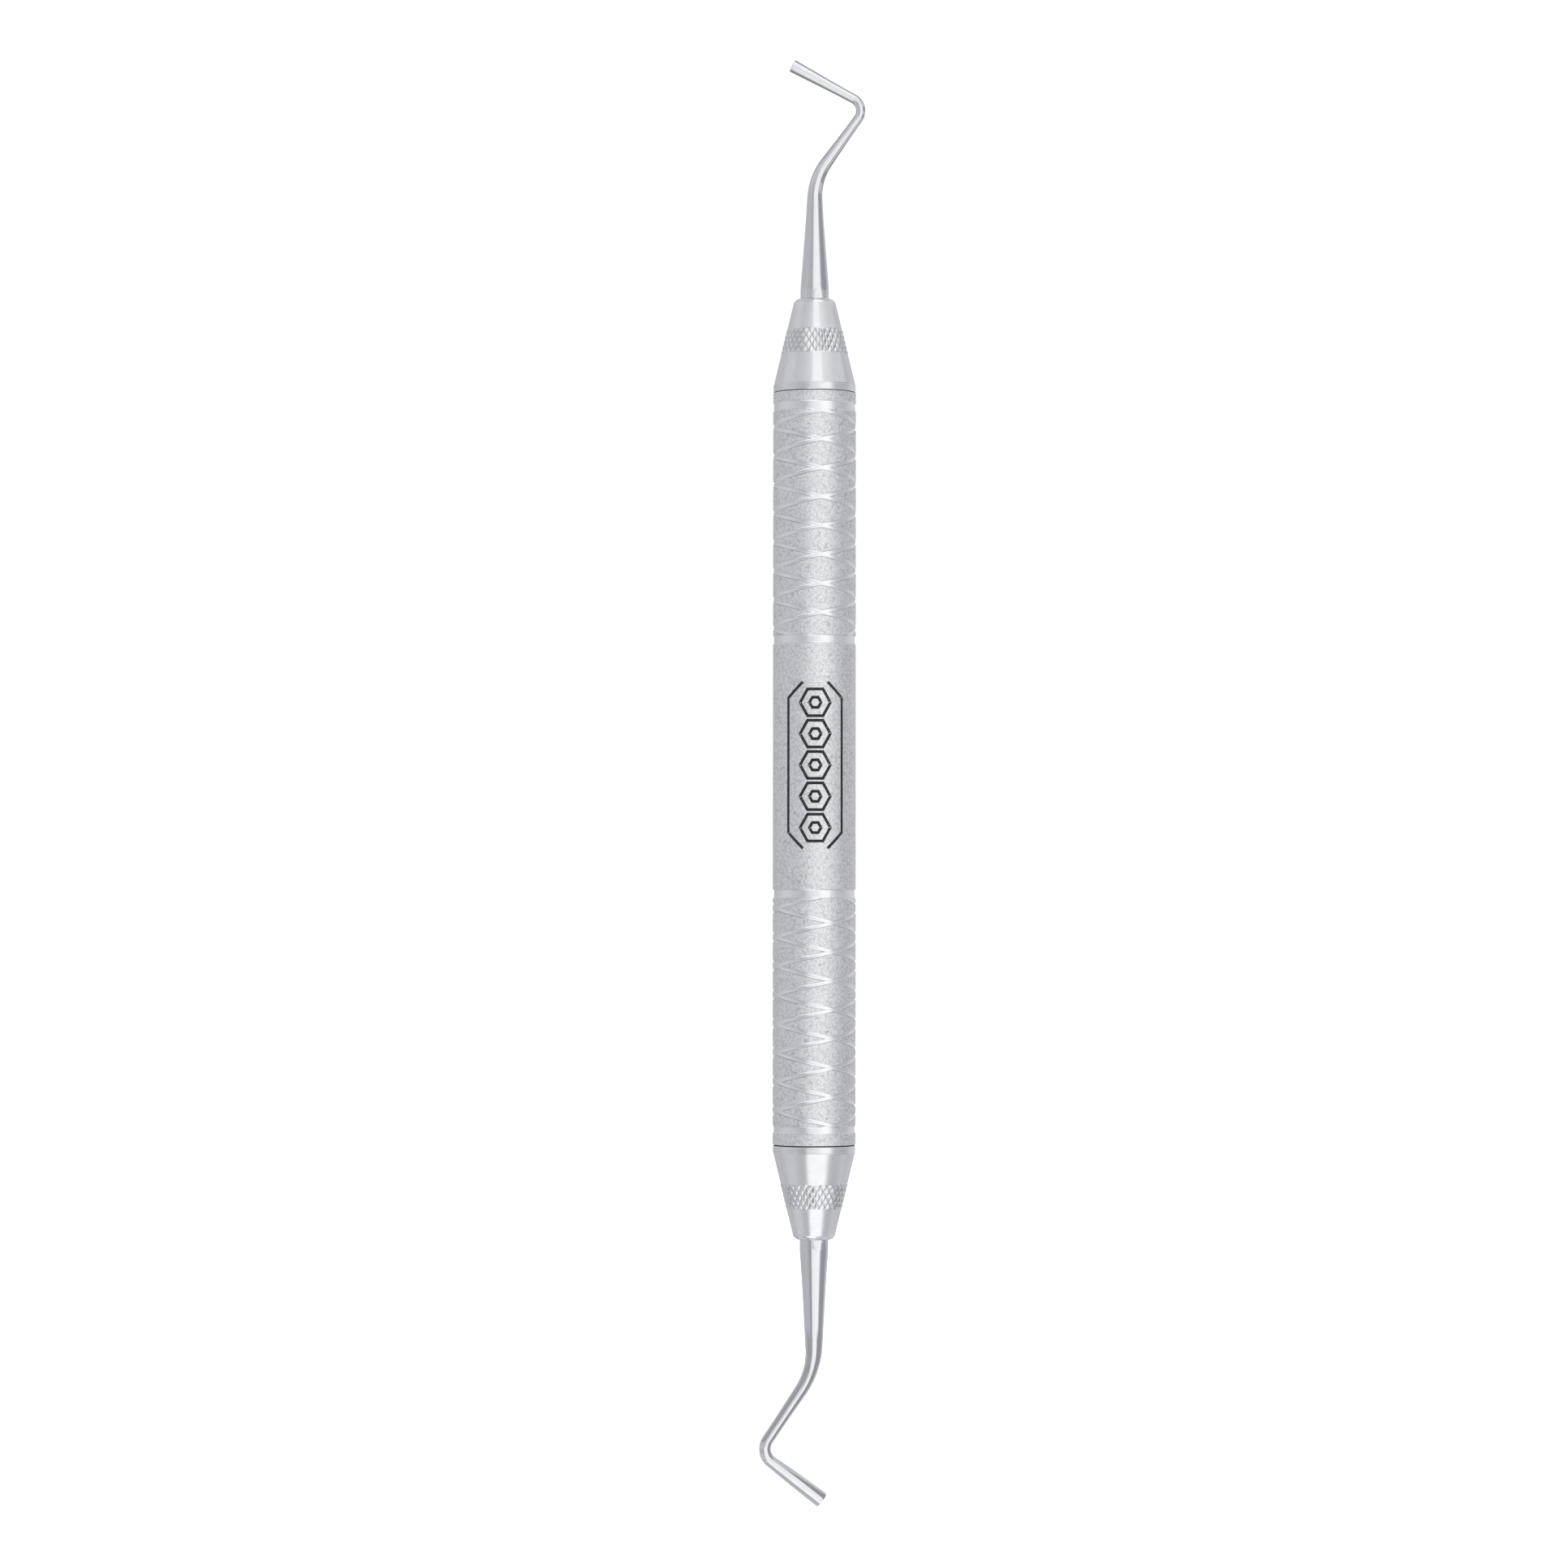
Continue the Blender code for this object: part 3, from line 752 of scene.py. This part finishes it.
def shank_rows(first_corner, bends, stations):
    """Rows of (x, z, heading, distance, radius) from the tang to the tip's face."""
    rows, end = centreline(first_corner, bends)
    refined = []
    for a, b in zip(rows[:-1], rows[1:]):
        near_flat = NOSE_HEIGHT - 0.5 < a[1] < NOSE_HEIGHT + FLAT_REACH + 0.3
        steps = 3 if near_flat else 1
        refined += [a + (b - a) * k / steps for k in range(steps)]
    refined.append(rows[-1])
    rows = np.array(refined)
    radius = smooth_diameter(rows[:, 3], stations) / 2
    tip_radius = stations[-1][1] / 2
    x, z, heading, distance = end
    tips = []
    for back, less in TIP_ROWS:
        tips.append((*ahead(x, z, heading, -back), heading, distance, tip_radius - less))
    return np.vstack([np.column_stack([rows, radius]), tips])


def with_flat(px, py, pz, flat_side, root_radius):
    """Moves the points outside the small slanting flat next to the cone onto it."""
    side = math.radians(flat_side)
    left = px * math.cos(side) + py * math.sin(side)
    deep = -px * math.sin(side) + py * math.cos(side)
    plane = FLAT_DEPTH * (NOSE_HEIGHT + FLAT_REACH - pz) / FLAT_REACH - root_radius
    deep = np.where(pz > NOSE_HEIGHT + FLAT_START, np.maximum(deep, plane), deep)
    return left * math.cos(side) - deep * math.sin(side), left * math.sin(side) + deep * math.cos(side)


def end_piece(name, shape, material, place):
    first_corner, bends, stations, swing, flat_side = shape
    angles = np.arange(SHANK_SIDES) * TAU / SHANK_SIDES
    swing = math.radians(swing)
    turned = np.array([[math.cos(swing), -math.sin(swing)], [math.sin(swing), math.cos(swing)]])
    skin = Skin()
    loops = []
    for x, z, heading, distance, r in shank_rows(first_corner, bends, stations):
        across = r * np.cos(angles)
        flat_xy = np.column_stack([x + across * math.cos(heading), r * np.sin(angles)]) @ turned.T
        px, py = flat_xy[:, 0], flat_xy[:, 1]
        pz = z - across * math.sin(heading)
        if distance < NOSE_HEIGHT + FLAT_REACH:
            px, py = with_flat(px, py, pz, flat_side, stations[0][1] / 2)
        loops.append(skin.add(np.column_stack([px, py, pz]), 0.0, 0.0))
    for a, b in zip(loops[:-1], loops[1:]):
        for k in range(SHANK_SIDES):
            n = (k + 1) % SHANK_SIDES
            skin.faces.append((a[k], a[n], b[n], b[k]))
    skin.faces.append(tuple(loops[0][::-1]))
    skin.faces.append(tuple(loops[-1]))
    return skin.piece(name, material, place)


# ---------------- materials

STEEL_TINT = 0.04


class Graph:
    """Short calls for building a shader's nodes."""

    def __init__(self, tree):
        self.tree = tree
        tree.nodes.clear()

    def put(self, socket, value):
        if isinstance(value, bpy.types.NodeSocket):
            self.tree.links.new(value, socket)
        elif value is not None:
            socket.default_value = value

    def node(self, kind, values=(), **settings):
        """A node, with its inputs filled in order from a tuple or by key from a dictionary."""
        made = self.tree.nodes.new(kind)
        for key, value in settings.items():
            setattr(made, key, value)
        for key, value in values.items() if isinstance(values, dict) else enumerate(values):
            self.put(made.inputs[key], value)
        return made

    def math(self, operation, a, b=None, c=None, clamp=False):
        return self.node("ShaderNodeMath", (a, b, c), operation=operation, use_clamp=clamp).outputs[0]

    def ramp(self, value, low, high, to_low=0.0, to_high=1.0, smooth=True):
        made = self.node("ShaderNodeMapRange", (value, low, high, to_low, to_high))
        made.interpolation_type = "SMOOTHSTEP" if smooth else "LINEAR"
        return made.outputs[0]

    def mix(self, share, a, b):
        return self.node("ShaderNodeMix", {0: share, 6: a, 7: b}, data_type="RGBA").outputs[2]

    def scaled(self, factors):
        """Object coordinates in millimetres, stretched by three factors."""
        place = self.node("ShaderNodeTexCoord").outputs["Object"]
        factors = [f / MM for f in factors]
        return self.node("ShaderNodeVectorMath", (place, factors), operation="MULTIPLY").outputs[0]

    def noise(self, vector, scale, detail, roughness=0.5):
        values = {"Vector": vector, "Scale": scale, "Detail": detail, "Roughness": roughness}
        return self.node("ShaderNodeTexNoise", values).outputs[0]

    def cells(self, vector, scale):
        """Scattered cells: distance from a cell's middle, and its random colour's red and blue."""
        made = self.node("ShaderNodeTexVoronoi", {"Vector": vector, "Scale": scale})
        parts = self.node("ShaderNodeSeparateColor", (made.outputs["Color"],))
        return made.outputs["Distance"], parts.outputs[0], parts.outputs[2]

    def attribute(self, name):
        return self.node("ShaderNodeAttribute", attribute_name=name).outputs["Fac"]

    def bump(self, height, distance):
        values = {"Height": height, "Distance": distance * MM, "Strength": 1.0}
        return self.node("ShaderNodeBump", values).outputs[0]

    def surface(self, colour, roughness, metallic, normal):
        values = {"Base Color": colour, "Roughness": roughness, "Metallic": metallic, "Normal": normal}
        shader = self.node("ShaderNodeBsdfPrincipled", values)
        self.node("ShaderNodeOutputMaterial", {"Surface": shader.outputs[0]})
        return shader


def new_graph(name):
    material = bpy.data.materials.new(name)
    material.use_nodes = True
    return material, Graph(material.node_tree)


def tinted(value, tint, blue=0.5):
    """Grey with a slight blue tint."""
    return (value * (1 - tint * 0.5), value * (1 - tint * 0.3), value * (1 + tint * blue), 1.0)


def grey(value):
    return tinted(value, STEEL_TINT)


def blasted_colour(g, even, grain, cloud, pits):
    """Grainy grey with painted glints in the grain, dark grit, faint clouds and a few pits."""
    away, _, choice = g.cells(even, 3.5)
    # Each grain cell is light at its middle and darker towards its rim: grain with painted glints.
    grain_and_glint = g.ramp(away, 0.2, 0.85, smooth=False)
    colour = g.mix(g.ramp(grain, 0.37, 0.63, smooth=False), grey(0.73), grey(0.79))
    colour = g.mix(g.math("MULTIPLY", grain_and_glint, 0.9), grey(0.87), g.mix(0.5, colour, grey(0.49)))
    colour = g.mix(g.ramp(choice, 0.98, 0.99, 0.0, 0.35), colour, grey(0.25))
    colour = g.mix(g.ramp(cloud, 0.3, 0.7, 0.0, 0.15), colour, grey(0.66))
    return g.mix(g.math("MULTIPLY", pits, 0.55), colour, grey(0.30))


def handle_material():
    """Bead-blasted steel with polished turned grooves, bright worn edges, a painted highlight along
    the grooves' upper edges and painted shade along their lower edges and on the ring grooves' wall
    rims.
    """
    material, g = new_graph("blasted_steel")
    even = g.scaled((1, 1, 1))
    polish, worn_and_painted_light = g.attribute("finish"), g.attribute("wear_and_painted_light")
    cloud = g.noise(even, 0.45, 2.0)
    turned = g.noise(g.scaled((0.25, 0.25, 9.0)), 2.0, 2.0)
    fine = g.noise(even, 5.5, 2.0, 0.6)
    finer = g.noise(even, 9.5, 1.0)
    grain = g.math("ADD", g.math("MULTIPLY", fine, 0.65), g.math("MULTIPLY", finer, 0.35))
    away, choice, _ = g.cells(even, 0.6)
    pits = g.math("MULTIPLY", g.ramp(choice, 0.76, 0.78), g.ramp(away, 0.10, 0.06))

    blasted = blasted_colour(g, even, grain, cloud, pits)
    # Rubbed edges and the painted highlight along the grooves' upper edges are made lighter.
    blasted = g.mix(g.math("MULTIPLY", worn_and_painted_light, 0.5, clamp=True), blasted, grey(0.86))
    smooth = g.mix(turned, grey(0.76), grey(0.82))
    colour = g.mix(polish, blasted, smooth)
    # Painted shade along the grooves' lower edges and on the ring grooves' wall rims, uneven with the
    # clouds.
    painted_shade = g.math("MULTIPLY", worn_and_painted_light, g.ramp(cloud, 0.35, 0.65, -0.4, -1.2), clamp=True)
    colour = g.mix(painted_shade, colour, grey(0.28))

    rough = g.ramp(finer, 0.25, 0.75, 0.46, 0.62, smooth=False)
    rough = g.math("SUBTRACT", rough, g.math("MULTIPLY", worn_and_painted_light, 0.10, clamp=True))
    shiny = g.ramp(turned, 0.3, 0.7, 0.20, 0.28)
    roughness = g.node("ShaderNodeMix", {0: polish, 2: rough, 3: shiny}, data_type="FLOAT").outputs[0]

    coarse = g.bump(g.math("SUBTRACT", grain, g.math("MULTIPLY", pits, 0.5)), 0.03)
    lines = g.bump(turned, 0.0012)
    normal = g.node("ShaderNodeMix", {0: polish, 4: coarse, 5: lines}, data_type="VECTOR").outputs[1]
    g.surface(colour, roughness, 1.0, normal)
    return material


def steel_material(name, tone, base_rough, grain_depth):
    """Polished steel: fine lines round the axis, clouds, small scratches, bright rubbed edges and
    painted shade in the knurling's valleys.
    """
    material, g = new_graph(name)
    even = g.scaled((1, 1, 1))
    fine = g.noise(even, 6.0, 2.0, 0.6)
    cloud = g.noise(even, 0.7, 3.0)
    turned = g.noise(g.scaled((0.22, 0.22, 8.0)), 2.2, 2.0)
    scratch = g.ramp(g.noise(g.scaled((3.5, 3.5, 0.3)), 2.0, 1.0), 0.70, 0.76)
    worn_and_painted_light = g.attribute("wear_and_painted_light")
    colour = g.mix(turned, grey(tone * 0.96), grey(tone * 1.03))
    colour = g.mix(g.ramp(cloud, 0.35, 0.7, 0.0, 0.5), colour, grey(tone * 0.93))
    colour = g.mix(g.math("MULTIPLY", scratch, 0.3), colour, grey(tone * 0.85))
    colour = g.mix(g.math("MULTIPLY", worn_and_painted_light, 0.6, clamp=True), colour, grey(min(0.9, tone * 1.15)))
    # Painted shade in the knurling's valleys.
    colour = g.mix(g.math("MULTIPLY", worn_and_painted_light, -0.5, clamp=True), colour, grey(0.32))
    rough = g.ramp(cloud, 0.3, 0.7, base_rough * 0.85, base_rough * 1.2)
    rough = g.math("ADD", rough, g.math("MULTIPLY", scratch, 0.05))
    height = g.math("MULTIPLY", g.math("ADD", fine, g.math("MULTIPLY", turned, 0.25)), grain_depth)
    g.surface(colour, rough, 1.0, g.bump(height, 0.004))
    return material


def machined_material():
    """Turned steel inside the handle."""
    material, g = new_graph("machined_steel")
    turned = g.noise(g.scaled((0.2, 0.2, 6.0)), 2.0, 3.0)
    cloud = g.noise(g.scaled((1, 1, 1)), 1.1, 3.0)
    colour = g.mix(turned, grey(0.52), grey(0.64))
    colour = g.mix(g.ramp(cloud, 0.4, 0.7, 0.0, 0.4), colour, grey(0.46))
    g.surface(colour, g.ramp(cloud, 0.3, 0.7, 0.26, 0.38), 1.0, g.bump(turned, 0.004))
    return material


def rubber_material():
    """Matt black rubber."""
    material, g = new_graph("black_silicone")
    cloud = g.noise(g.scaled((1, 1, 1)), 2.4, 3.0)
    fine = g.noise(g.scaled((1, 1, 1)), 12.0, 2.0)
    colour = g.mix(cloud, (0.022, 0.022, 0.024, 1), (0.045, 0.045, 0.049, 1))
    g.surface(colour, g.ramp(fine, 0.3, 0.7, 0.5, 0.68), 0.0, g.bump(fine, 0.004))
    return material


def etch_material():
    """Dark oxide left by engraving: matt, slightly mottled."""
    material, g = new_graph("dark_etch")
    fine = g.noise(g.scaled((1, 1, 1)), 7.0, 3.0, 0.6)
    cloud = g.noise(g.scaled((1, 1, 1)), 1.2, 2.0)
    colour = g.mix(fine, (0.003, 0.003, 0.004, 1), (0.012, 0.012, 0.014, 1))
    colour = g.mix(g.ramp(cloud, 0.35, 0.7, 0.0, 0.5), colour, (0.020, 0.021, 0.024, 1))
    speck = g.ramp(g.noise(g.scaled((1, 1, 1)), 5.0, 2.0), 0.62, 0.72)
    colour = g.mix(g.math("MULTIPLY", speck, 0.15), colour, grey(0.30))
    g.surface(colour, g.ramp(fine, 0.3, 0.7, 0.75, 0.95), 0.0, g.bump(fine, 0.006))
    return material


# ---------------- build the pieces

UPPER = Matrix.Translation((0, 0, SEAM_HEIGHT * MM))
LOWER = Matrix.Translation((0, 0, -SEAM_HEIGHT * MM)) @ Matrix.Rotation(math.pi, 4, "X")

handle_steel = handle_material()
cone_steel = steel_material("polished_cone_steel", 0.73, 0.13, 0.9)
shank_steel = steel_material("polished_shank_steel", 0.70, 0.06, 0.12)
machined = machined_material()
rubber = rubber_material()


def join(piece, body, replaced=None):
    """Puts a piece on its body and the CAD node that it stands for."""
    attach(piece, body)
    if replaced:
        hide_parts(replaced)


join(handle_piece(handle_steel), "handle", "handle_tube")
join(etched_motif(etch_material()), "handle")

for side, place, shape in (("upper", UPPER, UPPER_SHAPE), ("lower", LOWER, LOWER_SHAPE)):
    shank_radius = shape[2][0][1] / 2
    cone = cone_piece(side + "_cone_shell", cone_steel, place, shank_radius, CONE_LIP[side])
    join(cone, side + "_tip", side + "_cone")
    tip = end_piece(side + "_shank_and_tip", shape, shank_steel, place)
    join(tip, side + "_tip", side + "_working_end")
    seal = seal_piece(side + "_seal_washer", rubber, place)
    join(seal, side + "_seal", side + "_seal_ring")
    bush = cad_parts[side + "_threaded_bush"]
    bush.data.materials.clear()
    bush.data.materials.append(machined)


# ---------------- floor, light and camera

# The floor's and the camera's places are in metres.
FLOOR_RADIUS = 3.0
FLOOR_LEVEL = -0.1
FLOOR_GLOW = 0.55
BACKDROP = 1.05
LENS = 115.35
CAMERA_PLACE = (0.0, -0.606, -0.01734)
CAMERA_TILT = 1.46
CAMERA_ROLL = 0.043
CAMERA_SHIFT = -0.01927


def floor_piece():
    mesh = bpy.data.meshes.new("studio_floor")
    edit = bmesh.new()
    bmesh.ops.create_circle(edit, cap_ends=True, radius=FLOOR_RADIUS, segments=96)
    edit.to_mesh(mesh)
    edit.free()
    material, g = new_graph("pale_floor")
    cloud = g.noise(g.scaled((0.02, 0.02, 0.02)), 1.0, 3.0)
    shader = g.surface(g.mix(cloud, (0.90, 0.90, 0.905, 1), (0.94, 0.94, 0.94, 1)), 0.7, 0.0, None)
    shader.inputs["Emission Color"].default_value = (1, 1, 1, 1)
    shader.inputs["Emission Strength"].default_value = FLOOR_GLOW
    mesh.materials.append(material)
    floor = new_object("studio_floor", mesh)
    floor.location = (0, 0, FLOOR_LEVEL)
    floor.visible_glossy = False


# Light seen by the steel: brightness against azimuth, for seven bands from below to above.
# Azimuth 0 is the viewer's side and 90 the right-hand side of the picture.
LIGHT = (
    # Steeply below.
    (
        (-180, 0.75), (-105, 0.75), (-88, 0.60), (-70, 0.48), (-60, 0.45), (-52, 1.36), (5, 1.36),
        (30, 0.9), (60, 0.75), (180, 0.75),
    ),
    # Mirrored by the lower cone.
    (
        (-180, 0.55), (-160, 0.56), (-140, 0.60), (-115, 0.66), (-95, 0.76), (-78, 0.79), (-66, 0.76),
        (-55, 0.69), (-42, 0.65), (-32, 0.67), (-26, 0.80), (-20, 1.22), (-10, 1.34), (34, 1.38),
        (40, 1.20), (48, 0.84), (57, 0.69), (66, 0.65), (78, 0.66), (95, 0.73), (113, 0.80),
        (133, 0.80), (165, 0.66), (180, 0.55),
    ),
    # Mirrored by the lower shank.
    (
        (-180, 0.58), (-150, 0.62), (-125, 0.68), (-108, 0.62), (-93, 0.66), (-71, 0.67), (-52, 0.64),
        (-38, 0.50), (-25, 0.46), (-17, 1.18), (0, 1.26), (34, 1.32), (46, 1.26), (54, 0.72),
        (62, 0.48), (75, 0.42), (98, 0.43), (111, 0.48), (121, 0.68), (140, 0.72), (180, 0.56),
    ),
    # Mirrored by the handle.
    (
        (-180, 0.60), (-150, 0.58), (-140, 0.60), (-114, 0.68), (-95, 0.80), (-80, 0.81),
        (-65, 0.73), (-52, 0.71), (-40, 0.65), (-30, 0.63), (-22, 0.75), (-14, 0.83), (-5, 0.84),
        (7, 0.95), (18, 1.18), (32, 1.32), (44, 1.26), (52, 0.97), (60, 0.83), (75, 0.75),
        (90, 0.70), (105, 0.74), (119, 0.80), (147, 0.80), (165, 0.74), (180, 0.60),
    ),
    # Mirrored by the upper shank.
    (
        (-180, 0.58), (-150, 0.64), (-125, 0.70), (-108, 0.64), (-93, 0.68), (-71, 0.68), (-52, 0.65),
        (-34, 0.61), (-19, 0.60), (-10, 1.18), (0, 1.24), (34, 1.30), (44, 1.24), (53, 0.76),
        (62, 0.50), (75, 0.42), (98, 0.43), (111, 0.48), (121, 0.68), (140, 0.72), (180, 0.56),
    ),
    # Mirrored by the upper cone.
    (
        (-180, 0.58), (-150, 0.68), (-115, 0.78), (-86, 0.80), (-70, 0.78), (-60, 0.72), (-45, 0.76),
        (-30, 0.82), (-16, 0.90), (-9, 0.98), (-4, 1.26), (22, 1.26), (28, 1.04), (45, 0.97),
        (60, 0.87), (80, 0.84), (110, 0.84), (140, 0.82), (165, 0.70), (180, 0.58),
    ),
    # Steeply above.
    (
        (-180, 0.75), (-105, 0.74), (-65, 0.66), (-30, 0.66), (-15, 0.8), (-6, 1.36), (62, 1.36),
        (75, 0.72), (88, 0.68), (108, 0.72), (180, 0.75),
    ),
)
# Heights in degrees over which one band fades into the next.
BAND_EDGES = ((-44, -36), (-20, -15), (-3.7, -2.9), (6.2, 7.8), (19, 24), (38, 46))
LIGHT_SCALE = 2.0  # the ramps hold the brightness divided by this
LIGHT_TINT = 0.045
NEUTRAL_LIGHT = 1.15  # brightness from which the light is neutral
NEUTRAL_FADE = 0.5

# Small cards in millimetres, each mirrored by only one working end: the upper (1) or lower (-1)
# end, centre, point faced, width, height, brightness.
CARDS = {
    "card_right": (-1, (13.6, -5.4, -82), (-3, 0, -80), 21, 26, 0.42),
    "card_below": (-1, (-12.2, -5.3, -102), (-3, 0, -85), 16, 16, 0.62),
    "card_left": (-1, (-16.5, -9, -65.5), (-2, 0, -76), 36, 22, 0.48),
    "card_behind": (1, (0, 14, 92), (0, 0, 80), 60, 30, 0.45),
    "card_behind_low": (1, (0, 14, 64), (0, 0, 78), 60, 26, 0.30),
}
CARD_LIMIT = 67  # cards are seen from points at least this far above or below the middle
CARD_FADE = 2


def light_colour(value):
    """Dim parts of the studio are a little blue, bright parts neutral."""
    tint = LIGHT_TINT * max(0.0, min(1.0, (NEUTRAL_LIGHT - value) / NEUTRAL_FADE))
    return tinted(value, tint, 0.6)


def band_ramp(g, azimuth, stops):
    """Brightness round one band, from its stops."""
    ramp = g.node("ShaderNodeValToRGB", (azimuth,))
    ramp.color_ramp.interpolation = "LINEAR"
    elements = ramp.color_ramp.elements
    while len(elements) > 1:
        elements.remove(elements[-1])
    for number, (where, value) in enumerate(stops):
        element = elements[0] if number == 0 else elements.new(where / 360 + 0.5)
        element.position = where / 360 + 0.5
        element.color = [c / LIGHT_SCALE for c in light_colour(value)[:3]] + [1.0]
    return ramp.outputs[0]


def studio_world():
    """White backdrop for the camera, and the bands of light for everything else."""
    world = bpy.data.worlds.new("studio")
    world.use_nodes = True
    bpy.context.scene.world = world
    g = Graph(world.node_tree)
    way = g.node("ShaderNodeSeparateXYZ", (g.node("ShaderNodeTexCoord").outputs["Generated"],))
    azimuth = g.math("ARCTAN2", way.outputs[0], g.math("MULTIPLY", way.outputs[1], -1.0))
    azimuth = g.math("MULTIPLY_ADD", azimuth, 1 / TAU, 0.5)
    height = g.math("MULTIPLY", g.math("ARCSINE", way.outputs[2]), 360 / TAU)
    colour = band_ramp(g, azimuth, LIGHT[0])
    for (low, high), stops in zip(BAND_EDGES, LIGHT[1:]):
        colour = g.mix(g.ramp(height, low, high), colour, band_ramp(g, azimuth, stops))
    lit = g.node("ShaderNodeBackground", (colour, LIGHT_SCALE)).outputs[0]
    plain = g.node("ShaderNodeBackground", ((1, 1, 1, 1), BACKDROP)).outputs[0]
    to_camera = g.node("ShaderNodeLightPath").outputs["Is Camera Ray"]
    both = g.node("ShaderNodeMixShader", (to_camera, lit, plain))
    g.node("ShaderNodeOutputWorld", (both.outputs[0],))


def soft_light(name, place, size, power):
    """A square soft box that faces the object's middle."""
    data = bpy.data.lights.new(name, "AREA")
    data.size = size
    data.energy = power
    lamp = new_object(name, data)
    lamp.location = place
    lamp.rotation_euler = (-lamp.location).to_track_quat("-Z", "Y").to_euler()
    lamp.visible_glossy = False


def card_material(name, sign, brightness):
    """Glows only for rays that come from one working end, and lets all others through."""
    material, g = new_graph(name)
    glow = g.node("ShaderNodeEmission", {"Color": light_colour(brightness)}).outputs[0]
    clear = g.node("ShaderNodeBsdfTransparent").outputs[0]
    hit = g.node("ShaderNodeNewGeometry")
    heights = []
    for key in ("Position", "Incoming"):
        heights.append(g.node("ShaderNodeSeparateXYZ", (hit.outputs[key],)).outputs[2])
    away = g.node("ShaderNodeLightPath").outputs["Ray Length"]
    seen_from = g.math("MULTIPLY", g.math("MULTIPLY_ADD", heights[1], away, heights[0]), sign)
    share = g.ramp(seen_from, CARD_LIMIT * MM, (CARD_LIMIT + CARD_FADE) * MM)
    both = g.node("ShaderNodeMixShader", (share, clear, glow))
    g.node("ShaderNodeOutputMaterial", {"Surface": both.outputs[0]})
    return material


def light_card(name, sign, centre, target, width, height, brightness):
    x, y = width / 2 * MM, height / 2 * MM
    mesh = bpy.data.meshes.new(name)
    mesh.from_pydata([(-x, -y, 0), (x, -y, 0), (x, y, 0), (-x, y, 0)], [], [(0, 1, 2, 3)])
    mesh.materials.append(card_material(name, sign, brightness))
    card = new_object(name, mesh)
    card.location = Vector(centre) * MM
    card.rotation_euler = (Vector(target) - Vector(centre)).to_track_quat("Z", "Y").to_euler()
    card.visible_camera = card.visible_diffuse = card.visible_shadow = False
    card.visible_transmission = card.visible_volume_scatter = False


def photo_camera():
    data = bpy.data.cameras.new("camera")
    data.sensor_width = 36.0
    data.lens = LENS
    data.shift_x = CAMERA_SHIFT
    data.clip_start = 0.01
    data.clip_end = 50.0
    camera = new_object("camera", data)
    camera.location = CAMERA_PLACE
    camera.rotation_euler = (math.radians(90 + CAMERA_TILT), math.radians(-CAMERA_ROLL), 0.0)
    bpy.context.scene.camera = camera


floor_piece()
studio_world()
soft_light("softbox_above", (0.25, -0.35, 0.9), 0.6, 4.0)
for name, card in CARDS.items():
    light_card(name, *card)
photo_camera()
bpy.context.scene.view_settings.view_transform = "Standard"
